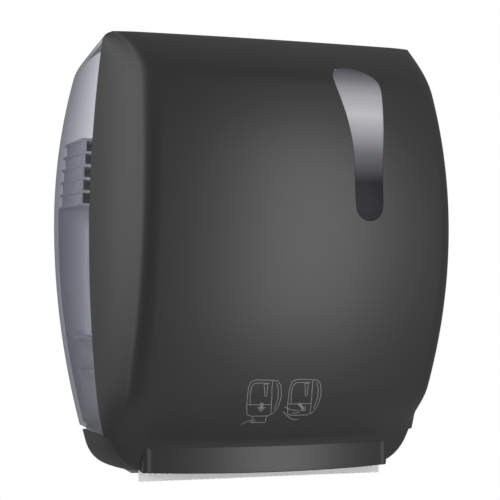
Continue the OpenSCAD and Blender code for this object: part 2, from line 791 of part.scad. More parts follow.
module battery_cells() {
  pitch = (box_high - box_low - box_wall) / 2;
  color("Goldenrod")
    for (k = [0, 1], i = [0, 1])
      translate([box_l + 6 + i * (cell_len + 0.4), -plate_t - box_wall - cell_r - 0.3,
          box_low + box_wall + k * pitch + cell_r + 0.3])
        rotate([0, 90, 0])
          union() {
            cylinder(r = cell_r, h = cell_len - 1.6);
            cylinder(r = 4.5, h = cell_len);
          }
}

module battery_contacts() {
  pitch = (box_high - box_low - box_wall) / 2;
  color("Silver")
    for (k = [0, 1]) {
      z = box_low + box_wall + k * pitch + 6;
      block(box_l + box_wall, box_l + box_wall + 0.8, -34, -12, z, z + 22);
      block(box_r - box_wall - 0.8, box_r - box_wall, -34, -12, z, z + 22);
      translate([box_l + box_wall + 0.7, -23, z + 11])
        rotate([0, 90, 0])
          cylinder(r1 = 8, r2 = 4, h = 3);
      translate([box_r - box_wall - 7.7, -23, z + 11])
        rotate([0, 90, 0])
          cylinder(r1 = 4, r2 = 8, h = 7);
    }
}

module battery_lid() {
  color("Gray")
    union() {
      block(box_l + 0.5, box_r - 0.5, lid_pivot_y - lid_t / 2, lid_pivot_y + lid_t / 2,
        lid_pivot_z - 0.9, box_high - 0.4);
      block(-46, -18, lid_pivot_y - lid_t / 2 - 2, lid_pivot_y, box_high - 10, box_high - 7);
      along_x(box_l - 2, box_l + 1, 1.5, lid_pivot_y, lid_pivot_z);
      along_x(box_r - 1, box_r + 2, 1.5, lid_pivot_y, lid_pivot_z);
    }
}

module control_panel() {
  color("Silver")
    difference() {
      union() {
        block(panel_l, frame_in, panel_y - panel_t, panel_y, panel_low, panel_high);
        for (x = [panel_l + 4, frame_in - 6], z = [panel_low + 4, panel_high - 4])
          translate([x, panel_y + 6, z])
            rotate([90, 0, 0])
              cylinder(r = 2.2, h = 7);
      }
      translate([button_x, panel_y + 1, ctrl_z])
        rotate([90, 0, 0])
          cylinder(r = button_r + run_fit, h = panel_t + 2);
      block(switch_x - 10, switch_x + 10, panel_y - 5, panel_y + 1, select_z - 2, select_z + 2);
      block(switch_x - 7, switch_x + 7, panel_y - 5, panel_y + 1, switch_z - 4, switch_z + 4);
    }
}

module main_board() {
  y0 = panel_y + 6;
  color("ForestGreen")
    union() {
      block(panel_l + 2, frame_in - 3, y0, y0 + 1.6, panel_low + 2, panel_high - 2);
      block(panel_mid - 8, panel_mid + 8, y0 + 1.6, y0 + 4, ctrl_z - 8, ctrl_z + 8);
      for (x = [panel_l + 10, frame_in - 12])
        translate([x, y0 + 1.5, panel_high - 12])
          rotate([-90, 0, 0])
            cylinder(r = 4, h = 10);
    }
}

module feed_button() {
  color("SteelBlue")
    translate([button_x, panel_y + 1, ctrl_z])
      rotate([90, 0, 0])
        cylinder(r = button_r, h = panel_t + 5);
}

module length_selector() {
  color("White")
    block(switch_x - 10 + slip_fit, switch_x - 4, panel_y - panel_t - 3, panel_y + 0.5,
      select_z - 2 + slip_fit, select_z + 2 - slip_fit);
}

module power_switch() {
  color("Black")
    block(switch_x - 7 + slip_fit, switch_x, panel_y - panel_t - 2.5, panel_y + 0.5,
      switch_z - 4 + slip_fit, switch_z + 4 - slip_fit);
}

module dc_inlet() {
  x = socket_x;
  color("Black")
    difference() {
      union() {
        block(x - 7, x + 7, -41, -27, z_chin + 0.5, z_chin + 16);
        block(x - 12, x + 12, -41, -27, z_chin + 0.5, z_chin + 2.5);
      }
      translate([x, -34, z_chin])
        cylinder(r = 3.2, h = 12);
    }
}

module sensor_board() {
  z = exit_low + exit_wall + 4;
  color("ForestGreen")
    union() {
      block(-22, 34, -exit_front + 6, -exit_back - 4, z, z + 1.6);
      for (x = [-16, 14])
        translate([x, -sensor_s, exit_low + exit_wall + seat_gap])
          cylinder(r = 2.5, h = 4.2);
    }
}

module sensor_lens() {
  color("Black")
    translate([0, -sensor_s, exit_low - 0.8])
      union() {
        cylinder(r = lens_r, h = exit_wall + 0.8);
        translate([0, 0, exit_wall + 0.5])
          cylinder(r = 5, h = 4.2);
      }
}

module led_pipe() {
  color("LightGreen")
    translate([led_x, -sensor_s, exit_low - 0.4])
      cylinder(r = led_r, h = exit_wall + 4.3);
}

// Chin: an upright band under the front, which runs back at its ends
function chin_s(x) = chin_front - chin_r + sqrt(chin_r * chin_r - x * x);
chin_n = 12;
function chin_end(off) = let(x1 = chin_hw - off, x2 = chin_hw - chin_round, s2 = chin_s(x2) - off)
  [for (i = [0:4]) let(t = i / 4) [quad(x1, x1, x2, t), -quad(s2 - chin_round, s2, s2, t)]];
function chin_line(off) = let(x2 = chin_hw - chin_round, e = chin_end(off)) concat(
  [[chin_hw - off, -chin_back]], e,
  [for (i = [1:chin_n - 1]) let(x = mix(x2, -x2, i / chin_n)) [x, -chin_s(x) + off]],
  [for (i = [4:-1:0]) [-e[i][0], e[i][1]]], [[-chin_hw + off, -chin_back]]);
module chin_band() {
  outer = chin_line(0);
  inner = chin_line(chin_wall);
  translate([0, 0, z_chin])
    linear_extrude(chin_lip - z_chin + 2)
      polygon(concat(outer, [for (i = [len(inner) - 1:-1:0]) inner[i]]));
}
module chin_hollow() {
  line = chin_line(chin_wall / 2);
  translate([0, 0, z_chin - 60])
    linear_extrude(chin_lip - z_chin + 62)
      polygon(concat([[chin_hw - chin_wall / 2, -60]], line, [[-chin_hw + chin_wall / 2, -60]]));
}

// Lugs that join the hinge arms to the ears
lug_z = hinge_z + 8;
lug_s = seam_d - 9;
lug_end = hood_w(lug_s, lug_z) - low_x(lug_s) * (1 - cos(low_a(lug_z, lug_s))) - 0.5 * cover_wall;
module front_cover() {
  color("DarkSlateGray")
    resize([0, 0, 0])
      union() {
        difference() {
          cover_shell(0, cover_wall);
          win_prism(0);
          chin_hollow();
        }
        chin_band();
        for (s = [-1, 1])
          block(s > 0 ? arm_out : -lug_end, s > 0 ? lug_end : -arm_out, -lug_s - 4, -lug_s + 4,
            lug_z - 4, lug_z + 4);
      }
}

module smoke_hood() {
  color("SlateGray")
    resize([0, 0, 0])
      difference() {
        union() {
          hood_shell();
          translate([0, lock_y, lock_z - 8])
            cylinder(r = lock_boss_r, h = 8, $fn = 40);
        }
        translate([0, lock_y, lock_z - 30])
          cylinder(r = lock_body_r + slip_fit, h = 60, $fn = 40);
        translate([0, lock_y, lock_z])
          cylinder(r = lock_lip_r + slip_fit, h = 6, $fn = 40);
      }
}

module window_insert() {
  color("SteelBlue")
    resize([0, 0, 0])
      intersection() {
        cover_shell(0.2, cover_wall - 0.2);
        win_prism(slip_fit);
      }
}

module hinge_arm(right) {
  color("DimGray")
    flip_x(!right)
      difference() {
        side_plate(arm_in, arm_out)
          polygon(concat([for (a = [-90:15:90]) [hinge_y + 9 * cos(a), hinge_z + 9 * sin(a)]],
            [[-seam_d + 9, hinge_z + 19], [-seam_d + 1, hinge_z + 19], [-seam_d + 1, hinge_z + 4]]));
        along_x(arm_in - 1, arm_out + 1, hinge_pin_r + run_fit, hinge_y, hinge_z);
      }
}
module hinge_arm_left() { hinge_arm(false); }
module hinge_arm_right() { hinge_arm(true); }

lock_r = 6;
lock_len = 16;
module lock_barrel() {
  color("Silver")
    difference() {
      union() {
        translate([0, lock_y, lock_z])
          cylinder(r = lock_lip_r, h = 2);
        translate([0, lock_y, lock_z - lock_len])
          cylinder(r = lock_body_r, h = lock_len + 0.5);
      }
      translate([0, lock_y, lock_z - 30])
        cylinder(r = lock_r + run_fit, h = 40);
    }
}

module lock_plug() {
  color("Silver")
    difference() {
      translate([0, lock_y, lock_z - lock_len - 1])
        cylinder(r = lock_r, h = lock_len + 3.5);
      block(-0.8, 0.8, lock_y - 4, lock_y + 4, lock_z - 3, lock_z + 5);
    }
}

module lock_cam() {
  z = lock_z - lock_len - 3.5;
  color("DarkGray")
    union() {
      translate([0, lock_y, z])
        cylinder(r = lock_r, h = 2.5);
      block(0, 24, lock_y - 4, lock_y + 4, z, z + 2.5);
    }
}

module lock_striker() {
  z = lock_z - lock_len + 0.5;
  color("DimGray")
    union() {
      block(-14, 14, -plate_t - 4, -plate_t, z - 24, z + 3);
      block(-14, 14, lock_y + 15, -plate_t, z, z + 3);
    }
}

back_plate();
hinge_pin_left();
hinge_pin_right();
side_frame_left();
side_frame_right();
bottom_tray();
rear_guide();
exit_housing();
tear_bar();
roll_arm_left();
roll_arm_right();
hub_left();
hub_post();
hub_right();
hub_spring();
roll_core();
paper_roll();
towel_tail();
feed_bush_left();
feed_bush_right();
feed_roller();
feed_sleeve_left();
feed_sleeve_middle();
feed_sleeve_right();
pinch_roller();
drive_gear();
idler_pin();
idler_gear();
motor();
motor_pinion();
battery_box();
battery_cells();
battery_contacts();
battery_lid();
control_panel();
main_board();
feed_button();
length_selector();
power_switch();
dc_inlet();
sensor_board();
sensor_lens();
led_pipe();
front_cover();
smoke_hood();
window_insert();
hinge_arm_left();
hinge_arm_right();
lock_barrel();
lock_plug();
lock_cam();
lock_striker();
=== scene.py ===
"""Looks of a sensor paper towel dispenser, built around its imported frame.

Sizes are in millimetres, in the frame of the part: X to the right, Y into the
wall, Z up. Depth s is the distance in front of the wall, so y = -s. Lamps, weld
distances and the scales and depths in the finishes are in metres.
"""

import logging
import math
import random
from dataclasses import dataclass, field
from enum import Enum
from typing import Callable, Generic, Iterable, Optional, Protocol, Sequence, TypeVar

import bmesh
import bpy
from mathutils import Matrix, Vector


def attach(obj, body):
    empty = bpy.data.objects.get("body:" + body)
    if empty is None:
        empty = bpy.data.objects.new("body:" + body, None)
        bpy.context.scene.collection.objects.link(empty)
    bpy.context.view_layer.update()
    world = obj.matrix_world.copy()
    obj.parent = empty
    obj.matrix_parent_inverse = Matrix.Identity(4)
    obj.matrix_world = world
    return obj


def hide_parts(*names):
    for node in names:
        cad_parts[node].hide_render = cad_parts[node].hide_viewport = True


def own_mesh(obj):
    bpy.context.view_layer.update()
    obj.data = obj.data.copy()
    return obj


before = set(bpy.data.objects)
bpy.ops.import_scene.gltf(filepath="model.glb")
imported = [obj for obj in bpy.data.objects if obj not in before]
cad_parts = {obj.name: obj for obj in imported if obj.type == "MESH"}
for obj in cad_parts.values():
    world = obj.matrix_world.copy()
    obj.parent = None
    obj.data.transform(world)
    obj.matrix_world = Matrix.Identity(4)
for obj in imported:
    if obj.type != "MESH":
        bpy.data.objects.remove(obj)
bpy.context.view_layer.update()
LOG = logging.getLogger("dispenser")
MM = 0.001
WELD = 0.00001
ROLL_Y, ROLL_Z = -105.0, 62.0

Triple = tuple[float, float, float]
Colour = Triple
Spot = tuple[float, float]
Line = list[Spot]
Place = Callable[[int, int, float], Vector]
Mesh = bmesh.types.BMesh
Thing = bpy.types.Object
Material = bpy.types.Material
Node = bpy.types.Node
Socket = bpy.types.NodeSocket
Owner = TypeVar("Owner", bpy.types.Material, bpy.types.World)


def mix(a: float, b: float, t: float) -> float:
    """Straight blend from a to b."""
    return a + (b - a) * t


def bow(a: float, b: float, c: float, t: float) -> float:
    """Quadratic curve from a to c, drawn towards b."""
    return (1 - t) ** 2 * a + 2 * t * (1 - t) * b + t * t * c


def clip(value: float) -> float:
    """The value, kept within 0 and 1."""
    return min(1.0, max(0.0, value))


def ease(low: float, high: float, value: float) -> float:
    """Smooth step from 0 at low to 1 at high."""
    t = clip((value - low) / (high - low))
    return t * t * (3 - 2 * t)


def steps(low: float, high: float, count: int) -> list[float]:
    """Evenly spaced values from low to high, both included."""
    return [mix(low, high, i / count) for i in range(count + 1)]


class Paint(Generic[Owner]):
    """A node tree of a material or a world, with short calls to add and join nodes."""

    def __init__(self, owner: Owner, kind: str = "Material") -> None:
        """Start an empty tree with its output.

        Args:
            owner: The material or the world.
            kind: Which of the two it is.
        """
        self.owner = owner
        owner.use_nodes = True
        self.tree = owner.node_tree
        self.tree.nodes.clear()
        self.output = self.add("ShaderNodeOutput" + kind)
        self.place = self.add("ShaderNodeTexCoord").outputs["Object"]

    @staticmethod
    def fresh(name: str) -> "Paint[Material]":
        """Start a new material."""
        return Paint(bpy.data.materials.new(name))

    def add(self, kind: str, **inputs: object) -> Node:
        """Add a node and fill its inputs.

        Args:
            kind: Blender's name of the node type.
            inputs: Input names with _ for a space, and their numbers or sockets.

        Returns:
            The new node.
        """
        node = self.tree.nodes.new(kind)
        for key, value in inputs.items():
            self.join(value, node.inputs[key.replace("_", " ")])
        return node

    def join(self, source: object, target: Socket) -> None:
        """Join an output to an input, or set a number there.

        Args:
            source: The output or the number.
            target: The input.
        """
        if isinstance(source, Socket):
            self.tree.links.new(source, target)
        else:
            target.default_value = source

    def along(self, axis: str) -> Socket:
        """Object coordinate along an axis."""
        return self.add("ShaderNodeSeparateXYZ", Vector=self.place).outputs[axis]

    def stretched(self, scale: Sequence[float], turn: Sequence[float] = (0, 0, 0)) -> Socket:
        """Object coordinates, scaled and then turned in radians."""
        node = self.add("ShaderNodeMapping", Scale=scale, Rotation=turn, Vector=self.place)
        return node.outputs["Vector"]

    def noise(self, scale: float, detail: float = 3.0, where: Optional[Socket] = None) -> Socket:
        """Noise factor.

        Args:
            scale: Cycles per metre.
            detail: Octaves.
            where: Coordinates, if not the object's own.

        Returns:
            The factor.
        """
        at = where or self.place
        return self.add("ShaderNodeTexNoise", Scale=scale, Detail=detail, Vector=at).outputs["Fac"]

    def span(
        self, value: Socket, low: float, high: float, start: float = 0.3, end: float = 0.7
    ) -> Socket:
        """Map a factor onto a range.

        Args:
            value: The factor.
            low: Result at start.
            high: Result at end.
            start: Lower end of the factor.
            end: Upper end of the factor.

        Returns:
            The mapped value.
        """
        ends = {"From_Min": start, "From_Max": end, "To_Min": low, "To_Max": high}
        return self.add("ShaderNodeMapRange", Value=value, **ends).outputs["Result"]

    def tones(self, value: Socket, stops: Sequence[tuple[float, Colour]]) -> Socket:
        """Colour ramp over a factor.

        Args:
            value: The factor.
            stops: Places and colours, in order.

        Returns:
            The colour.
        """
        node = self.add("ShaderNodeValToRGB", Fac=value)
        ramp = node.color_ramp.elements
        while len(ramp) < len(stops):
            ramp.new(0.5)
        for element, (at, colour) in zip(ramp, stops):
            element.position = at
            element.color = (*colour, 1.0)
        return node.outputs["Color"]

    def patchy(self, value: Socket, colour: Colour, dark: float, light: float) -> Socket:
        """A colour that varies with a factor from darker to lighter."""
        return self.tones(value, [(0.3, shade(colour, dark)), (0.7, shade(colour, light))])

    def sums(self, operation: str, a: Socket, b: object = 0.0) -> Socket:
        """Combine two values.

        Args:
            operation: Blender's name of the operation.
            a: First value.
            b: Second value, a socket or a number.

        Returns:
            The result.
        """
        node = self.add("ShaderNodeMath")
        node.operation = operation
        self.join(a, node.inputs[0])
        self.join(b, node.inputs[1])
        return node.outputs[0]

    def weighed(self, values: tuple[Socket, Socket], shares: Spot) -> Socket:
        """Sum of two values, each times its share."""
        first, second = (self.sums("MULTIPLY", v, share) for v, share in zip(values, shares))
        return self.sums("ADD", first, second)

    def relief(self, height: Socket, depth: float, strength: float = 1.0) -> Socket:
        """Bumped normal from a height, its depth in metres and the share of it that is used."""
        node = self.add("ShaderNodeBump", Strength=strength, Distance=depth, Height=height)
        return node.outputs["Normal"]

    def surface(self, **inputs: object) -> Node:
        """Principled surface with its inputs filled."""
        return self.add("ShaderNodeBsdfPrincipled", **inputs)

    def layered(self, factor: object, first: Node, second: Node) -> Node:
        """Mix of two shaders.

        Args:
            factor: Share of the second one, a socket or a number.
            first: The shader at 0.
            second: The shader at 1.

        Returns:
            The mixed shader.
        """
        node = self.add("ShaderNodeMixShader", Fac=factor)
        self.join(first.outputs[0], node.inputs[1])
        self.join(second.outputs[0], node.inputs[2])
        return node

    def done(self, shader: Node) -> Owner:
        """Join the shader to the output and hand the material or world over."""
        self.join(shader.outputs[0], self.output.inputs["Surface"])
        return self.owner


class Finish(Protocol):
    """A look that can be made into a material."""

    def make(self) -> Material:
        """Build the material."""


def shade(colour: Colour, factor: float) -> Colour:
    """The colour made lighter or darker."""
    return tuple(min(1.0, c * factor) for c in colour)


@dataclass(frozen=True)
class MouldedPlastic:
    """Opaque moulded plastic with a fine eroded grain."""

    name: str
    colour: Colour
    rough: float = 0.5
    grain: float = 2200.0
    depth: float = 0.00004
    spread: float = 0.06
    specular: float = 0.5
    ior: float = 1.5
    cloud: float = 14.0
    haze: float = 900.0
    rough_spread: float = 0.02

    def make(self) -> Material:
        """Build the material.

        Returns:
            The plastic.
        """
        p = Paint.fresh(self.name)
        cloud = p.noise(self.cloud, detail=4.0)
        low, high = self.rough - self.rough_spread, self.rough + self.rough_spread
        return p.done(p.surface(
            Base_Color=p.patchy(cloud, self.colour, 1 - self.spread, 1 + self.spread),
            Roughness=p.span(p.noise(self.haze), low, high),
            Normal=p.relief(p.noise(self.grain, detail=2.0), self.depth),
            Specular_IOR_Level=self.specular,
            IOR=self.ior,
        ))


@dataclass(frozen=True)
class Grade:
    """Colours that change along one axis of the object."""

    axis: str
    low: float
    high: float
    stops: tuple[tuple[float, Colour], ...]

    def colour(self, p: Paint) -> Socket:
        """The colours laid along the axis, in a material in the making."""
        way = p.span(p.along(self.axis), 0.0, 1.0, self.low * MM, self.high * MM)
        return p.tones(way, self.stops)


@dataclass(frozen=True)
class SmokedClear:
    """Clear plastic with a smoke tint, which shows what is behind it."""

    name: str
    tint: Grade
    haze: Grade
    cover: float = 0.06
    rough: float = 0.08
    ior: float = 1.35
    mottle: float = 30.0
    rough_ends: Spot = (0.8, 1.2)
    body_rough: float = 0.5

    def make(self) -> Material:
        """Build the material: a clear tint, a graded haze and a gloss; lamps shine through it.

        Returns:
            The clear plastic.
        """
        p = Paint.fresh(self.name)
        clear = p.add("ShaderNodeBsdfTransparent", Color=self.tint.colour(p))
        body = p.surface(
            Base_Color=self.haze.colour(p), Roughness=self.body_rough, Specular_IOR_Level=0.0
        )
        low, high = self.rough_ends
        rough = p.span(p.noise(self.mottle), self.rough * low, self.rough * high)
        gloss = p.add("ShaderNodeBsdfGlossy", Roughness=rough)
        outer = p.span(p.add("ShaderNodeNewGeometry").outputs["Backfacing"], 1.0, 0.0)
        edge = p.sums("MULTIPLY", p.add("ShaderNodeFresnel", IOR=self.ior).outputs[0], outer)
        seen = p.layered(edge, p.layered(self.cover, clear, body), gloss)
        shadow = p.add("ShaderNodeLightPath").outputs["Is Shadow Ray"]
        return p.done(p.layered(shadow, seen, p.add("ShaderNodeBsdfTransparent")))


@dataclass(frozen=True)
class DrawnMetal:
    """Metal with fine drawn lines along one axis."""

    name: str
    colour: Colour
    rough: float = 0.32
    lines: Triple = (20.0, 1400.0, 1400.0)
    depth: float = 0.00002
    tones: Spot = (0.86, 1.08)
    rough_span: Spot = (-0.08, 0.1)

    def make(self) -> Material:
        """Build the material.

        Returns:
            The metal.
        """
        p = Paint.fresh(self.name)
        streak = p.noise(1.0, where=p.stretched(self.lines))
        return p.done(p.surface(
            Base_Color=p.patchy(streak, self.colour, *self.tones),
            Roughness=p.span(streak, *(self.rough + part for part in self.rough_span)),
            Normal=p.relief(streak, self.depth),
            Metallic=1.0,
        ))


@dataclass(frozen=True)
class TowelPaper:
    """Soft white paper with embossed dots and loose fibres."""

    name: str
    colour: Colour = (0.86, 0.855, 0.84)
    fibre: float = 900.0
    cloud: float = 30.0
    dots: float = 330.0
    slant: float = 45.0
    squeeze: Triple = (1.0, 0.6, 1.0)
    pit: Spot = (0.1, 0.5)
    shares: Spot = (0.6, 0.4)
    tones: Spot = (0.94, 1.04)
    relief: Spot = (0.7, 0.5)
    depth: float = 0.00025
    strength: float = 0.6
    rough: float = 0.92
    specular: float = 0.2

    def make(self) -> Material:
        """Build the material.

        Returns:
            The paper.
        """
        p = Paint.fresh(self.name)
        fibre = p.noise(self.fibre, detail=6.0)
        slanted = p.stretched(self.squeeze, (0.0, math.radians(self.slant), 0.0))
        dots = p.add("ShaderNodeTexVoronoi", Scale=self.dots, Randomness=0.0, Vector=slanted)
        pit = p.span(dots.outputs["Distance"], 0.0, 1.0, *self.pit)
        both = p.weighed((fibre, p.noise(self.cloud)), self.shares)
        return p.done(p.surface(
            Base_Color=p.patchy(both, self.colour, *self.tones),
            Roughness=self.rough,
            Normal=p.relief(p.weighed((pit, fibre), self.relief), self.depth, self.strength),
            Specular_IOR_Level=self.specular,
        ))


@dataclass(frozen=True)
class RolledPaper:
    """Wound paper: close layers around the roll's axis, and loose fibres."""

    name: str
    colour: Colour = (0.74, 0.735, 0.72)
    layers: float = 1500.0
    fibre: float = 700.0
    shares: Spot = (0.7, 0.3)
    ends: Spot = (0.32, 0.66)
    tones: Spot = (0.86, 1.05)
    depth: float = 0.0003
    strength: float = 0.7
    rough: float = 0.9
    specular: float = 0.2

    def make(self) -> Material:
        """Build the material.

        Returns:
            The paper.
        """
        p = Paint.fresh(self.name)
        dy = p.sums("SUBTRACT", p.along("Y"), ROLL_Y * MM)
        dz = p.sums("SUBTRACT", p.along("Z"), ROLL_Z * MM)
        square = p.sums("ADD", p.sums("MULTIPLY", dy, dy), p.sums("MULTIPLY", dz, dz))
        radius = p.sums("SQRT", square)
        around = p.add("ShaderNodeCombineXYZ", X=radius).outputs[0]
        layer = p.noise(self.layers, 2.0, around)
        both = p.weighed((layer, p.noise(self.fibre, detail=5.0)), self.shares)
        stops = [(at, shade(self.colour, tone)) for at, tone in zip(self.ends, self.tones)]
        return p.done(p.surface(
            Base_Color=p.tones(both, stops),
            Roughness=self.rough,
            Normal=p.relief(both, self.depth, self.strength),
            Specular_IOR_Level=self.specular,
        ))


@dataclass(frozen=True)
class BoardLaminate:
    """Circuit board with a pattern of tracks under its mask."""

    name: str
    mask: Colour = (0.012, 0.09, 0.04)
    track: Colour = (0.04, 0.2, 0.09)
    lighter: float = 1.4
    tracks: float = 160.0
    gap: float = 0.06
    mottle: float = 60.0
    rough: Spot = (0.3, 0.42)
    depth: float = 0.00003

    def make(self) -> Material:
        """Build the material.

        Returns:
            The board.
        """
        p = Paint.fresh(self.name)
        brick = p.add(
            "ShaderNodeTexBrick",
            Scale=self.tracks,
            Color1=(*self.mask, 1.0),
            Color2=(*shade(self.mask, self.lighter), 1.0),
            Mortar=(*self.track, 1.0),
            Mortar_Size=self.gap,
            Vector=p.stretched((1, 1, 1), (math.radians(90), 0, 0)),
        )
        return p.done(p.surface(
            Base_Color=brick.outputs["Color"],
            Roughness=p.span(p.noise(self.mottle), *self.rough),
            Normal=p.relief(brick.outputs["Fac"], self.depth),
        ))


@dataclass(frozen=True)
class CellWrap:
    """Printed sleeve of a battery cell, in two tones."""

    name: str
    dark: Colour = (0.02, 0.03, 0.05)
    band: Colour = (0.55, 0.33, 0.12)
    pitch: float = 61.5
    band_end: float = 0.27
    dark_start: float = 0.29
    fade: float = 1.3
    mottle: float = 80.0
    rough: Spot = (0.22, 0.34)

    def make(self) -> Material:
        """Build the material.

        Returns:
            The sleeve.
        """
        p = Paint.fresh(self.name)
        part = p.sums("FRACT", p.sums("DIVIDE", p.along("X"), self.pitch * MM))
        stops = [(0.0, self.band), (self.band_end, self.band)]
        stops += [(self.dark_start, self.dark), (1.0, shade(self.dark, self.fade))]
        rough = p.span(p.noise(self.mottle), *self.rough)
        return p.done(p.surface(Base_Color=p.tones(part, stops), Roughness=rough))


class Cut(Enum):
    """What is kept when one mesh cuts another."""

    AWAY = "DIFFERENCE"
    KEEP = "INTERSECT"


class Shop:
    """Makes pieces out of meshes and gives them their finishes."""

    @staticmethod
    def place(name: str, bm: Mesh) -> Thing:
        """Turn a bmesh into an object of the scene.

        Args:
            name: Name of the object.
            bm: The mesh, which is freed.

        Returns:
            The new object.
        """
        mesh = bpy.data.meshes.new(name)
        bm.to_mesh(mesh)
        bm.free()
        obj = bpy.data.objects.new(name, mesh)
        bpy.context.scene.collection.objects.link(obj)
        return obj

    @staticmethod
    def piece(
        name: str,
        bm: Mesh,
        finish: Material,
        body: str,
        slot: str,
        replaced: Sequence[str] = (),
        sharp: float = 32.0,
    ) -> Thing:
        """Turn a bmesh into a finished piece on its body.

        Args:
            name: Name of the piece.
            bm: The mesh, which is freed.
            finish: Its material.
            body: The body it rides on.
            slot: The record's material slot; not used.
            replaced: Nodes that it stands for.
            sharp: Angle in degrees above which an edge is sharp.

        Returns:
            The new object.
        """
        obj = Shop.place(name, bm)
        obj.data.shade_smooth()
        obj.data.set_sharp_from_angle(angle=math.radians(sharp))
        obj.data.materials.append(finish)
        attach(obj, body)
        if replaced:
            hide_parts(*replaced)
        LOG.info("piece %s on %s", name, body)
        return obj

    @staticmethod
    def shell(place: Place, rows: int, cols: int, wall: float) -> Mesh:
        """Closed shell of two grids, bridged along their rims.

        Args:
            place: Gives the point of a row and a column at a depth, in mm.
            rows: Number of faces along the rows.
            cols: Number of faces along the columns.
            wall: Thickness in mm.

        Returns:
            The mesh, in metres.
        """
        bm = bmesh.new()
        for depth in (0.0, wall):
            made = bmesh.ops.create_grid(bm, x_segments=cols, y_segments=rows, size=0.5)
            for v in made["verts"]:
                i = round((v.co.x + 0.5) * cols)
                j = round((v.co.y + 0.5) * rows)
                v.co = place(j, i, depth) * MM
        bmesh.ops.remove_doubles(bm, verts=bm.verts, dist=WELD)
        bmesh.ops.dissolve_degenerate(bm, dist=0.000005, edges=bm.edges)
        bmesh.ops.bridge_loops(bm, edges=[e for e in bm.edges if e.is_boundary])
        bmesh.ops.recalc_face_normals(bm, faces=bm.faces)
        return bm

    @staticmethod
    def prism(ring: Sequence[Vector], run: Vector) -> Mesh:
        """Closed prism on an outline.

        Args:
            ring: Points of the outline in mm.
            run: Its length and direction in mm.

        Returns:
            The mesh, in metres.
        """
        bm = bmesh.new()
        base = bm.faces.new([bm.verts.new(p * MM) for p in ring])
        made = bmesh.ops.extrude_face_region(bm, geom=[base])
        moved = [v for v in made["geom"] if isinstance(v, bmesh.types.BMVert)]
        bmesh.ops.translate(bm, verts=moved, vec=run * MM)
        bmesh.ops.recalc_face_normals(bm, faces=bm.faces)
        return bm

    @staticmethod
    def carve(bm: Mesh, cutter: Mesh, cut: Cut) -> Mesh:
        """Cut a mesh with another one.

        Args:
            bm: The mesh to cut, which is freed.
            cutter: The cutting mesh, which is freed.
            cut: What to keep.

        Returns:
            The cut mesh.
        """
        objects = [Shop.place("cut_target", bm), Shop.place("cut_tool", cutter)]
        change = objects[0].modifiers.new("cut", "BOOLEAN")
        change.operation = cut.value
        change.solver = "EXACT"
        change.object = objects[1]
        bpy.context.view_layer.update()
        graph = bpy.context.evaluated_depsgraph_get()
        result = bmesh.new()
        result.from_object(objects[0], graph)
        for obj in objects:
            mesh = obj.data
            bpy.data.objects.remove(obj)
            bpy.data.meshes.remove(mesh)
        return result

    @staticmethod
    def gather(bm: Mesh, others: Iterable[Mesh]) -> None:
        """Add closed meshes to a mesh.

        Args:
            bm: The mesh that takes them.
            others: The meshes, which are freed.
        """
        for other in others:
            mesh = bpy.data.meshes.new("extra")
            other.to_mesh(mesh)
            other.free()
            bm.from_mesh(mesh)
            bpy.data.meshes.remove(mesh)

    @staticmethod
    def dress(finish: Material, nodes: Iterable[str]) -> None:
        """Give carried nodes a finish.

        Args:
            finish: The material.
            nodes: Names of the nodes.
        """
        for node in nodes:
            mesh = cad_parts[node].data
            if not mesh.materials:
                mesh.materials.append(finish)
            for i in range(len(mesh.materials)):
                mesh.materials[i] = finish
            LOG.info("dressed %s in %s", node, finish.name)


class Zone(Enum):
    """Bands of the cover, from its rim to the middle of its roof."""

    EAR = "ear"
    LEDGE = "ledge"
    WALL = "wall"
    CROWN = "crown"
    ROOF = "roof"


@dataclass(frozen=True)
class Level:
    """One row of the cover: its band, and how far up in it."""

    zone: Zone
    t: float


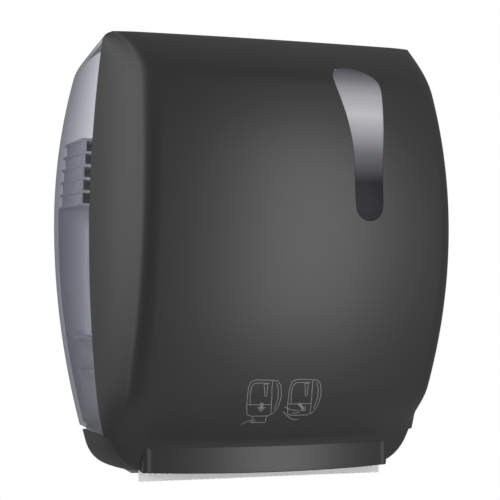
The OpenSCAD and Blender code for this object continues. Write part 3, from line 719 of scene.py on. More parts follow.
@dataclass
class BodyForm:
    """Curves that the cover and the hood share."""

    width: float = 327.0
    height: float = 371.0
    depth: float = 221.0
    roof_fall: float = 0.11
    wall_mid: float = 25.0
    wall_high: float = 36.0
    wall_low: float = 25.5
    seam: float = 95.0
    seam_half: float = 148.5
    seam_mid: float = 9.0
    seam_drop: float = 13.7
    seam_foot: float = 2.0
    crease_half: float = 125.2
    crease_low: float = -46.0
    crease_drop: float = 5.4
    crease_mid: float = 22.0
    crease_fall: float = 75.5
    crease_min: float = 100.0
    crease_soft: float = 8.0
    crown_share: float = 0.1
    crown_top: float = 0.25
    foot_start: float = 21.5
    foot_end: float = 67.5
    foot_in: float = 26.0
    foot_bulge: float = 10.5
    top_h: float = 44.0
    top_back: float = 0.85
    top_in: float = 15.0
    hood_low: float = -154.5
    hood_bow: float = 0.5
    near: float = 170.0
    rounds: int = 6

    @property
    def half(self) -> float:
        """Half the height."""
        return self.height / 2

    @property
    def crown(self) -> float:
        """How far the front bulges."""
        return self.crown_share * self.depth

    def off(self, z: float, middle: float) -> float:
        """Square of a height's distance from a middle, in half-heights."""
        return ((z - middle) / self.half) ** 2

    def wall_w(self, z: float) -> float:
        """Half-width at the wall."""
        drop = self.wall_high if z > self.wall_mid else self.wall_low
        return self.width / 2 - drop * self.off(z, self.wall_mid)

    def seam_w(self, z: float) -> float:
        """Half-width at the seam of hood and cover."""
        drop = self.seam_drop * self.off(z, self.seam_mid)
        return self.seam_half - drop - self.seam_foot * self.foot(z) ** 2

    def crease_w(self, z: float) -> float:
        """Half-width where flank and front meet."""
        return self.crease_half - self.crease_drop * self.off(z, self.crease_low)

    def foot(self, z: float) -> float:
        """Share by which the foot is drawn in at a height."""
        return 1 - ease(self.foot_start - self.half, self.foot_end - self.half, z)

    def crease_s(self, z: float) -> float:
        """Depth where flank and front meet.

        Args:
            z: Height.

        Returns:
            Depth in mm.
        """
        fall = self.crease_fall * self.off(z, self.crease_mid) + self.foot_in * self.foot(z)
        d = self.depth - self.crown - fall - self.crease_min
        return self.crease_min + (d + math.hypot(d, self.crease_soft)) / 2

    def roof_z(self, s: float) -> float:
        """Height of the roof at a depth."""
        return self.half - self.roof_fall * s

    def hood_w(self, s: float, z: float) -> float:
        """Half-width of the hood at a depth and a height."""
        t = (self.seam - s) / self.seam
        return mix(self.seam_w(z), self.wall_w(z), (1 + self.hood_bow) * t - self.hood_bow * t * t)

    def front_s(self, x: float, z: float) -> float:
        """Depth of the front face.

        Args:
            x: Place across.
            z: Height.

        Returns:
            Depth in mm.
        """
        face, lift = self.near, 0.0
        for _ in range(self.rounds):
            under = self.roof_z(mix(self.near, face, lift)) - self.top_h
            lift = clip((z - under) / self.top_h)
            level = self.roof_z(self.near) - self.top_h * (1 - lift) if lift > 0 else z
            c = 1 - math.sqrt(1 - lift * lift)
            bulge = self.crown * mix(1, self.crown_top, lift * lift)
            bulge += self.foot_bulge * self.foot(level)
            back = self.top_back * (self.crease_s(level) - self.seam)
            wide = self.crease_w(level) - self.top_in * c
            face = self.crease_s(level) - back * c + bulge * (1 - (x / wide) ** 2)
        return face


@dataclass
class FrontCover:
    """Black front cover with ears at its foot and a chin across the exit."""

    form: BodyForm
    wall: float = 3.0
    ear_back: float = 10.0
    ear_gap: float = 3.0
    ledge: float = 0.6
    wall_gap: float = 4.0
    rim_z_ends: Spot = (-3.5, 1.0)
    foot_h_ends: Spot = (22.0, 34.0)
    foot_w_ends: Spot = (20.0, 33.0)
    foot_turn: float = 0.94
    foot_flat: float = 0.5
    foot_tilt: float = 70.0
    near_low: float = 118.0
    near_flank: float = 160.0
    edge_share: float = 0.6
    edge_r: float = 12.0
    seam_round: float = 8.0
    crease_flare: float = 3.0
    flank_bow: float = 3.5
    flank_end: float = 7.0
    edge_end: float = 11.0
    front_end: float = 18.0
    chin_hw: float = 106.5
    chin_front: float = 132.0
    chin_back: float = 98.0
    chin_sag: float = 24.0
    chin_lip: float = -164.0
    chin_round: float = 6.0
    chin_edge: float = 1.2
    chin_rows: int = 6
    chin_cols: tuple[int, int, int] = (8, 10, 36)
    chin_overlap: float = 2.0
    hollow_back: float = 60.0
    hollow_h: float = 82.7
    lug: float = 8.0
    lug_stretch: float = 1.1
    lug_at: Triple = (121.4, -86.0, -164.0)
    row_counts: tuple[int, int, int, int] = (20, 60, 24, 8)
    col_counts: tuple[int, int, int] = (18, 24, 30)
    levels: list[Level] = field(default_factory=list)
    ks: list[float] = field(default_factory=list)

    def __post_init__(self) -> None:
        """Lay out the rows and columns."""
        ear, wall, crown, roof = self.row_counts
        self.levels = [Level(Zone.EAR, t) for t in steps(0, 1, ear)] + [Level(Zone.LEDGE, 0)]
        self.levels += [Level(Zone.WALL, t) for t in steps(0, 1, wall)]
        self.levels += [Level(Zone.CROWN, t) for t in steps(0, 1, crown)[1:]]
        self.levels += [Level(Zone.ROOF, t) for t in steps(0, 1, roof)[1:]]
        flank, edge, front = self.col_counts
        self.ks = steps(0, self.flank_end, flank)
        self.ks += steps(self.flank_end, self.edge_end, edge)[1:]
        self.ks += steps(self.edge_end, self.front_end, front)[1:]

    @property
    def ear_top(self) -> float:
        """Height of the ears' upper edge."""
        return self.form.hood_low - self.ear_gap

    def rim_t(self, s: float) -> float:
        """Share of the way from the ears' back to the seam."""
        return clip((s - self.ear_back) / (self.form.seam - self.ear_back))

    def rim_z(self, s: float) -> float:
        """Height of the lower rim."""
        return -self.form.half + mix(*self.rim_z_ends, self.rim_t(s))

    def low_r(self, s: float) -> float:
        """Height of the rounding at the foot."""
        return mix(*self.foot_h_ends, self.rim_t(s))

    def low_tilt(self, z: float, s: float) -> float:
        """Tilt of the rounding at the foot, in radians."""
        r = self.low_r(s)
        return -math.asin(clip((self.rim_z(s) + self.foot_turn * r - z) / r))

    def back_s(self, level: Level) -> float:
        """Depth of the back edge of a row."""
        return self.ear_back if level.zone is Zone.EAR else self.form.seam

    def near_s(self, level: Level, k: float) -> float:
        """Rough depth of a point, which sets its heights.

        Args:
            level: The row.
            k: Column, from the back edge at 0 to the middle of the front.

        Returns:
            Depth in mm.
        """
        low = level.zone in (Zone.EAR, Zone.LEDGE)
        if k > self.flank_end:
            return self.near_low if low else self.form.near
        end = self.near_low if low else self.near_flank
        return mix(self.back_s(level), end, k / self.flank_end)

    def top_r(self, k: float) -> float:
        """Height of the rounding under the roof."""
        return mix(self.seam_round, self.form.top_h, min(1.0, k / self.flank_end))

    def top_rx(self, k: float) -> float:
        """Width of the rounding under the roof."""
        return mix(self.seam_round, -self.crease_flare, min(1.0, k / self.flank_end))

    def level_z(self, level: Level, k: float, s: float) -> float:
        """Height of a point of a row.

        Args:
            level: The row.
            k: Column, from the back edge at 0 to the middle of the front.
            s: Depth of the point.

        Returns:
            Height in mm.
        """
        under = self.form.roof_z(s) - self.top_r(k)
        if level.zone is Zone.EAR:
            return mix(self.rim_z(s), self.ear_top, level.t)
        if level.zone is Zone.LEDGE:
            return self.ear_top + self.ledge
        if level.zone is Zone.WALL:
            return mix(self.form.hood_low + self.wall_gap, under, level.t)
        return under + self.top_r(k) * math.sin(self.tilt(level, k))

    def tilt(self, level: Level, k: float) -> float:
        """Tilt of the surface up or down, in radians.

        Args:
            level: The row.
            k: Column, from the back edge at 0 to the middle of the front.

        Returns:
            The tilt, upwards above 0.
        """
        if level.zone is Zone.CROWN:
            return math.pi / 2 * level.t
        if level.zone is Zone.ROOF:
            return math.pi / 2
        s = self.near_s(level, k)
        return self.low_tilt(self.level_z(level, k, s), s)

    def plan(self, level: Level, k: float, th: float) -> Spot:
        """Half-width and depth of a point.

        Args:
            level: The row.
            k: Column, from the back edge at 0 to the middle of the front.
            th: Depth under the outer face.

        Returns:
            Half-width and depth in mm.
        """
        form = self.form
        a = self.tilt(level, k)
        c = 1 - math.cos(a)
        near = self.near_s(level, k)
        z = self.level_z(level, k, near)
        rx = mix(*self.foot_w_ends, self.rim_t(near)) if a < 0 else self.top_rx(k)
        ry = 0.0 if a < 0 else form.top_back * (form.crease_s(z) - form.seam)
        inset = th * math.cos(a)
        full = mix(1, form.crown_top, math.sin(a) ** 2)
        if a <= 0:
            full = 1 + self.foot_flat * math.degrees(a) / self.foot_tilt
        bulge = form.crown * full + form.foot_bulge * form.foot(z)
        wb = form.seam_w(z) - rx * c - inset
        wc = form.crease_w(z) - rx * c - inset
        dc = form.crease_s(z) - ry * c - inset
        flank = math.hypot(wc - wb, dc - form.seam)
        ux, uy = (wc - wb) / flank, (dc - form.seam) / flank
        e = min(self.edge_r - th * self.edge_share, self.edge_share * flank)
        ax, ay, bx = wc - e * ux, dc - e * uy, wc - e
        by = dc + bulge * (1 - (bx / wc) ** 2)
        cy = by - 2 * bulge / wc * (bx / wc) * e
        if k <= self.flank_end and level.zone is Zone.EAR:
            t = k / self.flank_end
            back = form.hood_w(self.ear_back, z) - rx * c - inset
            return bow(back, wb, ax, t), bow(self.ear_back, form.seam, ay, t)
        if k <= self.flank_end:
            s = mix(form.seam, ay, k / self.flank_end)
            t = (s - form.seam) / (ay - form.seam)
            return mix(wb, ax, t) + self.flank_bow * (flank / form.seam) ** 2 * 4 * t * (1 - t), s
        if k <= self.edge_end:
            t = (k - self.flank_end) / (self.edge_end - self.flank_end)
            return bow(ax, wc, bx, t), bow(ay, max(dc, cy), by, t)
        x = bx * (1 - (k - self.edge_end) / (self.front_end - self.edge_end))
        return x, dc + bulge * (1 - (x / wc) ** 2)

    def chin_s(self, x: float) -> float:
        """Depth of the chin's face."""
        r = (self.chin_hw ** 2 + self.chin_sag ** 2) / (2 * self.chin_sag)
        return self.chin_front - r + math.sqrt(r * r - x * x)

    def chin_line(self, inset: float) -> Line:
        """Line of the chin seen from above, from side to side.

        Args:
            inset: How far it is drawn in.

        Returns:
            Points across and into depth, in mm.
        """
        side = self.chin_hw - inset
        turn = self.chin_hw - self.chin_round
        depth = self.chin_s(turn) - inset
        start = depth - self.chin_round
        flank, corner, face = self.chin_cols
        half = [(side, s) for s in steps(self.chin_back, start, flank)[:-1]]
        half += [
            (bow(side, side, turn, t), bow(start, depth, depth, t)) for t in steps(0, 1, corner)
        ]
        half += [(x, self.chin_s(x) - inset) for x in steps(turn, 0, face)[1:]]
        return half + [(-x, s) for x, s in reversed(half[:-1])]

    def chin_point(self, j: int, i: int, th: float) -> Vector:
        """Point of the chin's band, rounded along its lower edge.

        Args:
            j: Row, upwards.
            i: Column, from side to side.
            th: Depth under the outer face.

        Returns:
            The point in mm.
        """
        r = self.chin_edge
        n = self.chin_rows
        a = math.pi / 2 * min(j, n) / n
        z = -self.form.half + r * (1 - math.cos(a))
        if j > n:
            z = mix(z, self.chin_lip + self.chin_overlap, (j - n) / n)
        x, s = self.chin_line(th if th > 0 else r * (1 - math.sin(a)))[i]
        return Vector((x, -s, z))

    def chin_band(self) -> Mesh:
        """Band of the chin, in metres."""
        cols = len(self.chin_line(0)) - 1
        return Shop.shell(self.chin_point, 2 * self.chin_rows, cols, self.wall)

    def chin_hollow(self) -> Mesh:
        """Tool that opens the cover behind the chin, in metres.

        Returns:
            The tool.
        """
        line = self.chin_line(self.wall / 2)
        ring = [(line[0][0], self.hollow_back), *line, (line[-1][0], self.hollow_back)]
        low = -self.form.half - self.hollow_back
        return Shop.prism([Vector((x, -s, low)) for x, s in ring], Vector((0, 0, self.hollow_h)))

    def lugs(self) -> list[Mesh]:
        """Blocks that carry the cover on its hinge arms, in metres.

        Returns:
            Left and right block.
        """
        made = []
        for side in (-1, 1):
            bm = bmesh.new()
            bmesh.ops.create_cube(bm, size=self.lug * MM)
            bmesh.ops.scale(bm, verts=bm.verts, vec=(self.lug_stretch, 1, 1))
            x, y, z = self.lug_at
            bmesh.ops.translate(bm, verts=bm.verts, vec=Vector((side * x, y, z)) * MM)
            made.append(bm)
        return made

    def point(self, j: int, i: int, th: float) -> Vector:
        """Point of the cover's grid.

        Args:
            j: Row.
            i: Column, counted over both halves.
            th: Depth under the outer face.

        Returns:
            The point in mm.
        """
        last = len(self.ks) - 1
        level = self.levels[j]
        k = self.ks[i if i <= last else 2 * last - i]
        x, s = self.plan(level, k, th)
        a = self.tilt(level, k)
        if level.zone is Zone.ROOF:
            x, z = x * (1 - level.t), self.form.roof_z(s)
        elif a >= math.pi / 2:
            z = self.form.roof_z(s)
        else:
            near = self.near_s(level, k)
            z = self.level_z(level, k, mix(near, s, math.sin(a)) if a > 0 else near)
        z -= th * math.sin(a)
        return Vector((-x if i <= last else x, -s, z))

    def build(self, window: "SightWindow", finish: Material) -> Thing:
        """Model the cover, cut its window and set its chin.

        Args:
            window: The sight window, whose outline is cut.
            finish: The cover's material.

        Returns:
            The piece.
        """
        bm = Shop.shell(self.point, len(self.levels) - 1, 2 * (len(self.ks) - 1), self.wall)
        bm = Shop.carve(bm, window.prism(0.0), Cut.AWAY)
        bm = Shop.carve(bm, self.chin_hollow(), Cut.AWAY)
        Shop.gather(bm, [self.chin_band(), *self.lugs()])
        return Shop.piece("front_cover_shell", bm, finish, "cover", "cover_black", ["front_cover"])


@dataclass
class SightWindow:
    """Smoked window in the front, flush with it."""

    form: BodyForm
    x: float = 46.8
    foot: float = 12.2
    head: float = 21.2
    bottom: float = 26.0
    high: float = 124.0
    rise: float = 15.5
    gap: float = 0.25
    wall: float = 3.0
    flare_z: float = 50.0
    flare_power: float = 1.7
    sway: float = 2.0
    head_lean: float = 5.0
    cut_y: float = -140.0
    cut_run: float = -120.0
    count: int = 24
    softening: int = 8
    grid_half: int = 30
    grid_low: float = 8.0
    grid_step: float = 1.5
    grid_rows: int = 92

    def up(self, z: float) -> float:
        """Share of the way from the start of the flare to the head."""
        return max(0.0, (z - self.flare_z) / (self.high - self.flare_z))

    def half_w(self, z: float, g: float) -> float:
        """Half-width at a height, drawn in by g."""
        return self.foot - g + (self.head - self.foot) * self.up(z) ** self.flare_power

    def mid(self, z: float) -> float:
        """Middle line at a height."""
        return self.x + self.sway * math.sin(math.pi * self.up(z))

    def outline(self, g: float) -> Line:
        """Outline of the window.

        Args:
            g: How far it is drawn in.

        Returns:
            Points across and up, in mm.
        """
        n = self.count
        line = [
            (self.x + (self.foot - g) * math.cos(a), self.bottom + (self.foot - g) * math.sin(a))
            for a in steps(math.pi, 2 * math.pi, n)
        ]
        rise = steps(self.bottom, self.high, n)
        line += [(self.mid(z) + self.half_w(z, g), z) for z in rise[1:]]
        line += [
            (
                self.x + (self.head - g) * math.cos(a) - self.head_lean * math.sin(a),
                self.high + (self.rise - g) * math.sin(a),
            )
            for a in steps(0, math.pi, n)[1:-1]
        ]
        line += [(self.mid(z) - self.half_w(z, g), z) for z in reversed(rise[1:])]
        for _ in range(self.softening):
            line = [
                (mix((a[0] + c[0]) / 2, b[0], 0.5), mix((a[1] + c[1]) / 2, b[1], 0.5))
                for a, b, c in zip(line[-1:] + line[:-1], line, line[1:] + line[:1])
            ]
        return line

    def prism(self, g: float) -> Mesh:
        """Prism through the front on the outline, drawn in by g, in metres."""
        ring = [Vector((x, self.cut_y, z)) for x, z in self.outline(g)]
        return Shop.prism(ring, Vector((0, self.cut_run, 0)))

    def point(self, j: int, i: int, th: float) -> Vector:
        """Point of the window's grid, before it is trimmed.

        Args:
            j: Row, upwards.
            i: Column, to the right.
            th: Depth under the outer face.

        Returns:
            The point in mm.
        """
        x = self.x - self.grid_half + i
        z = self.grid_low + self.grid_step * j
        return Vector((x, -self.form.front_s(x, z) + th, z))

    def build(self, finish: Material) -> Thing:
        """Model the window.

        Args:
            finish: Its material.

        Returns:
            The piece.
        """
        bm = Shop.shell(self.point, self.grid_rows, 2 * self.grid_half, self.wall)
        bm = Shop.carve(bm, self.prism(self.gap), Cut.KEEP)
        return Shop.piece("sight_window", bm, finish, "cover", "smoke_clear", ["window_insert"])


@dataclass
class SmokeHood:
    """Smoked hood that arches over the chassis from the wall to the seam."""

    form: BodyForm
    wall: float = 2.5
    back: float = 1.5
    back_round: float = 36.0
    seam_round: float = 8.0
    seam_gap: float = 0.3
    lock_r: float = 9.1
    lock_deep: float = 40.0
    lock_at: Triple = (0.0, -60.0, 180.0)
    straight: int = 40
    corner: int = 16
    roof: int = 12
    deep: int = 16

    def radius(self, s: float) -> float:
        """Radius of the upper corners."""
        return mix(self.back_round, self.seam_round, s / self.form.seam)

    def point(self, j: int, i: int, th: float) -> Vector:
        """Point of the hood's grid.

        Args:
            j: Row, from the wall to the seam.
            i: Column, over the arch.
            th: Depth under the outer face.

        Returns:
            The point in mm.
        """
        form = self.form
        half = self.straight + self.corner + self.roof
        k = i if i <= half else 2 * half - i
        s = mix(self.back, form.seam - self.seam_gap, j / self.deep)
        r = self.radius(s)
        zc = form.roof_z(s) - r
        if k <= self.straight:
            z = mix(form.hood_low, zc, k / self.straight)
            x = form.hood_w(s, z) - th
        elif k <= self.straight + self.corner:
            a = math.pi / 2 * (k - self.straight) / self.corner
            z = zc + r * math.sin(a)
            x = form.hood_w(s, z) - r * (1 - math.cos(a)) - th * math.cos(a)
            z -= th * math.sin(a)
        else:
            u = (k - self.straight - self.corner) / self.roof
            x = (form.hood_w(s, form.roof_z(s)) - r) * (1 - u)
            z = form.roof_z(s) - th
        return Vector((-x if i <= half else x, -s, z))

    def lock_hole(self) -> Mesh:
        """Round tool for the lock's hole in the roof.

        Returns:
            The tool, in metres.
        """
        bm = bmesh.new()
        r, deep = self.lock_r * MM, self.lock_deep * MM
        bmesh.ops.create_cone(bm, cap_ends=True, segments=48, radius1=r, radius2=r, depth=deep)
        bmesh.ops.translate(bm, verts=bm.verts, vec=Vector(self.lock_at) * MM)
        return bm

    def build(self, finish: Material) -> Thing:
        """Model the hood.

        Args:
            finish: Its material.

        Returns:
            The piece.
        """
        cols = 2 * (self.straight + self.corner + self.roof)
        bm = Shop.shell(self.point, self.deep, cols, self.wall)
        bm = Shop.carve(bm, self.lock_hole(), Cut.AWAY)
        return Shop.piece("smoke_hood_shell", bm, finish, "cover", "smoke_clear", ["smoke_hood"])


@dataclass
class TowelRoll:
    """Wound roll of towel on its holder."""

    outer: float = 81.9
    inner: float = 21.2
    half_w: float = 106.0
    edge: float = 0.8
    uneven: float = 0.5
    layers: int = 40
    around: int = 96
    seed: int = 7

    def build(self, finish: Material) -> Thing:
        """Spin the roll from its profile.

        Args:
            finish: Its material.

        Returns:
            The piece.
        """
        draw = random.Random(self.seed)
        bm = bmesh.new()
        radii = steps(self.inner, self.outer - self.edge, self.layers)
        line = [(-self.half_w + draw.uniform(0, self.uneven), r) for r in radii]
        line += [(x, self.outer) for x in (-self.half_w + self.edge, 0.0, self.half_w - self.edge)]
        line += [(self.half_w - draw.uniform(0, self.uneven), r) for r in reversed(radii)]
        ring = [bm.verts.new(Vector((x, ROLL_Y, ROLL_Z + r)) * MM) for x, r in line]
        edges = [bm.edges.new((a, b)) for a, b in zip(ring, ring[1:] + ring[:1])]
        bmesh.ops.spin(
            bm,
            geom=ring + edges,
            cent=Vector((0, ROLL_Y, ROLL_Z)) * MM,
            axis=(1, 0, 0),
            angle=2 * math.pi,
            steps=self.around,
            use_merge=True,
        )
        bmesh.ops.remove_doubles(bm, verts=bm.verts, dist=WELD)
        bmesh.ops.recalc_face_normals(bm, faces=bm.faces)
        return Shop.piece(
            "wound_towel", bm, finish, "roll", "paper_white", ["paper_roll"], sharp=50.0
        )


@dataclass
class TowelEnd:
    """Free end of the towel, from the roll down through the slot."""

    half_w: float = 106.0
    plane: float = -91.0
    roll_r: float = 82.65
    wrap: float = 60.0
    bend_z: float = -110.0
    low: float = -194.5
    thick: float = 0.3
    pitch: float = 5.0
    tooth: float = 0.45
    loose_z: float = -180.0
    wave: float = 0.7
    wave_run: float = 34.0
    wave_start: float = 0.6
    cols: int = 170
    path_steps: tuple[int, int, int] = (20, 14, 28)
    path: Line = field(default_factory=list)

    def __post_init__(self) -> None:
        """Lay the path from the roll to the torn edge."""
        dy, dz = self.plane - ROLL_Y, self.bend_z - ROLL_Z
        r = self.roll_r
        leave = math.atan2(dz, dy) - math.acos(r / math.hypot(dy, dz))
        around, slope, drop = self.path_steps
        turn = steps(leave - math.radians(self.wrap), leave, around)
        self.path = [(ROLL_Y + r * math.cos(a), ROLL_Z + r * math.sin(a)) for a in turn]
        y, z = self.path[-1]
        self.path += [
            (mix(y, self.plane, t), mix(z, self.bend_z, t)) for t in steps(0, 1, slope)[1:]
        ]
        self.path += [(self.plane, z) for z in steps(self.bend_z, self.low, drop)[1:]]

    @property
    def length(self) -> float:
        """Length of the path."""
        return sum(math.dist(a, b) for a, b in zip(self.path, self.path[1:]))

    def point(self, j: int, i: int, th: float) -> Vector:
        """Point of the sheet.

        Args:
            j: Step along the path.
            i: Column across.
            th: Depth through the sheet.

        Returns:
            The point in mm.
        """
        y, z = self.path[j]
        x = mix(-self.half_w, self.half_w, i / self.cols)
        loose = ease(self.loose_z, self.low, z) if z < self.loose_z else 0.0
        last = len(self.path) - 1
        if j == last:
            z += self.tooth * (abs((x / self.pitch) % 1.0 - 0.5) * 2)
        y += loose * self.wave * math.sin(x / self.wave_run + self.wave_start)
        ahead = self.path[min(j + 1, last)]
        behind = self.path[max(j - 1, 0)]
        run = Vector((0, ahead[0] - behind[0], ahead[1] - behind[1])).normalized()
        side = Vector((0, -run.z, run.y))
        return Vector((x, y, z)) + side * (th - self.thick / 2)

    def build(self, finish: Material) -> Thing:
        """Args:
            finish: Its material.

        Returns:
            The piece.
        """
        bm = Shop.shell(self.point, len(self.path) - 1, self.cols, self.thick)
        obj = Shop.piece(
            "towel_end", bm, finish, "chassis", "paper_white", ["towel_tail"], sharp=60.0
        )
        return obj


@dataclass
class PrintedSigns:
    """Two plain line drawings on the front that show how to take a towel."""

    form: BodyForm
    stroke: float = 0.5
    proud: float = 0.06
    film: float = 0.12
    left: Spot = (-24.0, -125.0)
    right: Spot = (9.0, -125.0)
    lean: float = 0.2
    dash: float = 1.5
    weld: float = 0.000002

    def lines_case(self) -> list[Line]:
        """Line drawing of a dispenser seen from its side, with a window in its front.

        Returns:
            Its strokes.
        """
        front = [(-12, 12), (-10, 16), (-6, 17.5), (7, 17)]
        front += [(6.2, 9), (6.2, -1), (7, -11), (5, -12.4), (-9, -12.4), (-12, -11)]
        front += [(-13.4, -3), (-13.2, 5), (-12, 12)]
        flank = [(7, 17), (11, 16.4), (13.4, 13), (14, 4), (12, -5), (8.6, -11), (7, -11)]
        hood = [(10, 14.6), (11.4, 10), (11.2, 2), (9, -7)]
        window = [(0, 14), (3, 14), (2.4, 8), (2.2, 4.6), (1, 3.8), (0.4, 4.8), (0.6, 9), (0, 14)]
        panel = [(-10.6, -2.6), (-11.2, 5), (-9.8, 12), (-7.4, 14.6), (-4, 15), (4.4, 14.6)]
        shelf = [(-13, -2.6), (6.2, -2.6)]
        return [front, flank, hood, window, panel, shelf]

    def lines_towel(self) -> list[Line]:
        """Line drawing of an arrow down and a towel between two fingers.

        Returns:
            Its strokes.
        """
        arrow = [(-2.4, -1.4), (-2.4, -5), (-4.6, -5), (-1.4, -8.4)]
        arrow += [(1.8, -5), (-0.4, -5), (-0.4, -1.4), (-2.4, -1.4)]
        towel = [(-7, -12.4), (-7.4, -18), (3.6, -18), (4, -12.4)]
        thumb = [(-15, -19.4), (-10.6, -16.6), (-6, -15.4), (-4.6, -16.4), (-6, -17.4), (-9, -17.8)]
        fill = [[(x, -1.6), (x, -6.4)] for x in (-1.9, -1.4, -0.9)]
        fill += [[(-3.6, -5.5), (0.8, -5.5)], [(-1.4, -6), (-1.4, -7.8)]]
        return [arrow, towel, thumb, *fill]

    def lines_pass(self) -> list[Line]:
        """Line drawing of a hand that passes under the case, with a slanted arrow.

        Returns:
            Its strokes.
        """
        arrow = [(-3.6, -1.6), (-2.2, -3), (0.4, -5.6), (1.8, -4.2), (2.2, -8.6)]
        arrow += [(-2.2, -8.2), (-0.8, -6.8), (-4.8, -2.8), (-3.6, -1.6)]
        palm = [(-15.4, -5), (-10, -7.6), (-4, -8.4), (-2.6, -9.6), (-4, -10.6), (-8.6, -10.4)]
        wrist = [(-16, -9), (-12, -12.6), (-9, -15), (-5, -16.4), (-2, -16)]
        fill = [[(-4, -2.4), (1.4, -7.8)], [(-3.6, -2.6), (1.2, -7)], [(-4.2, -2.8), (0.4, -7.8)]]
        return [arrow, palm, wrist, *fill]

    def ribbon(self, bm: Mesh, line: Sequence[Spot], at: Spot) -> None:
        """Lay one stroke on the front.

        Args:
            bm: Mesh that takes the stroke.
            line: Points of the stroke, around the sign's middle.
            at: Middle of the sign, across and up.
        """
        fine: list[Vector] = []
        for a, b in zip(line, line[1:]):
            count = max(1, round(math.dist(a, b) / self.dash))
            fine += [
                Vector((mix(a[0], b[0], t), mix(a[1], b[1], t))) for t in steps(0, 1, count)[:-1]
            ]
        fine.append(Vector(line[-1]))
        closed = (fine[0] - fine[-1]).length < 1e-6
        sides: list[tuple[Vector, Vector]] = []
        for n, p in enumerate(fine):
            before = fine[n - 1] if n else (fine[-2] if closed else p)
            after = fine[n + 1] if n + 1 < len(fine) else (fine[1] if closed else p)
            run = (after - before).normalized()
            off = Vector((-run.y, run.x)) * self.stroke / 2
            sides.append((p + off, p - off))

        def on_front(p: Vector) -> Vector:
            """Point of the front under a point of the sign, in metres."""
            x, z = p.x - self.lean * p.y + at[0], p.y + at[1]
            return Vector((x, -self.form.front_s(x, z) - self.proud, z)) * MM

        chain = [bm.verts.new(on_front(a)) for a, _ in sides]
        edges = [bm.edges.new(pair) for pair in zip(chain, chain[1:])]
        made = bmesh.ops.extrude_edge_only(bm, edges=edges)
        far = [v for v in made["geom"] if isinstance(v, bmesh.types.BMVert)]
        for v in far:
            n = min(range(len(chain)), key=lambda i: (chain[i].co - v.co).length_squared)
            v.co = on_front(sides[n][1])

    def build(self, finish: Material) -> Thing:
        """Print both signs.

        Args:
            finish: The ink's material.

        Returns:
            The piece.
        """
        bm = bmesh.new()
        for lines, at in ((self.lines_towel(), self.left), (self.lines_pass(), self.right)):
            for line in (*self.lines_case(), *lines):
                self.ribbon(bm, line, at)
        bmesh.ops.recalc_face_normals(bm, faces=bm.faces)
        if sum(f.normal.y for f in bm.faces) > 0:
            bmesh.ops.reverse_faces(bm, faces=bm.faces)
        bmesh.ops.remove_doubles(bm, verts=bm.verts, dist=self.weld)
        bmesh.ops.solidify(bm, geom=bm.faces[:], thickness=self.film * MM)
        bmesh.ops.recalc_face_normals(bm, faces=bm.faces)
        return Shop.piece("printed_signs", bm, finish, "cover", "holder_pale")


@dataclass
class HubSpring:
    """Coil spring between the sliding hub and its arm, built at one length; the real spring
    shortens as the hub slides.
    """

    start: float = 111.9
    end: float = 132.1
    fixed: float = 133.0
    travel: float = 12.0
    coil_r: float = 15.0
    wire_r: float = 0.7
    turns: int = 6
    turn_steps: int = 40
    sides: int = 12

    def build(self, finish: Material) -> Thing:
        """Spin the wire into a coil.

        Args:
            finish: Its material.

        Returns:
            The new object.
        """
        bm = bmesh.new()
        first = Matrix.Translation(Vector((self.start, ROLL_Y + self.coil_r, ROLL_Z)) * MM)
        bmesh.ops.create_circle(bm, segments=self.sides, radius=self.wire_r * MM, matrix=first)
        count = self.turns * self.turn_steps
        bmesh.ops.spin(
            bm,
            geom=[*bm.verts, *bm.edges],
            cent=Vector((0, ROLL_Y, ROLL_Z)) * MM,
            axis=Vector((1, 0, 0)),
            dvec=Vector(((self.end - self.start) / count, 0, 0)) * MM,
            angle=2 * math.pi * self.turns,
            steps=count,
        )
        bmesh.ops.holes_fill(bm, edges=[e for e in bm.edges if e.is_boundary], sides=0)
        bmesh.ops.recalc_face_normals(bm, faces=bm.faces)
        obj = Shop.piece("hub_coil", bm, finish, "chassis", "spring_steel", ["hub_spring"])
        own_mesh(obj)
        return obj


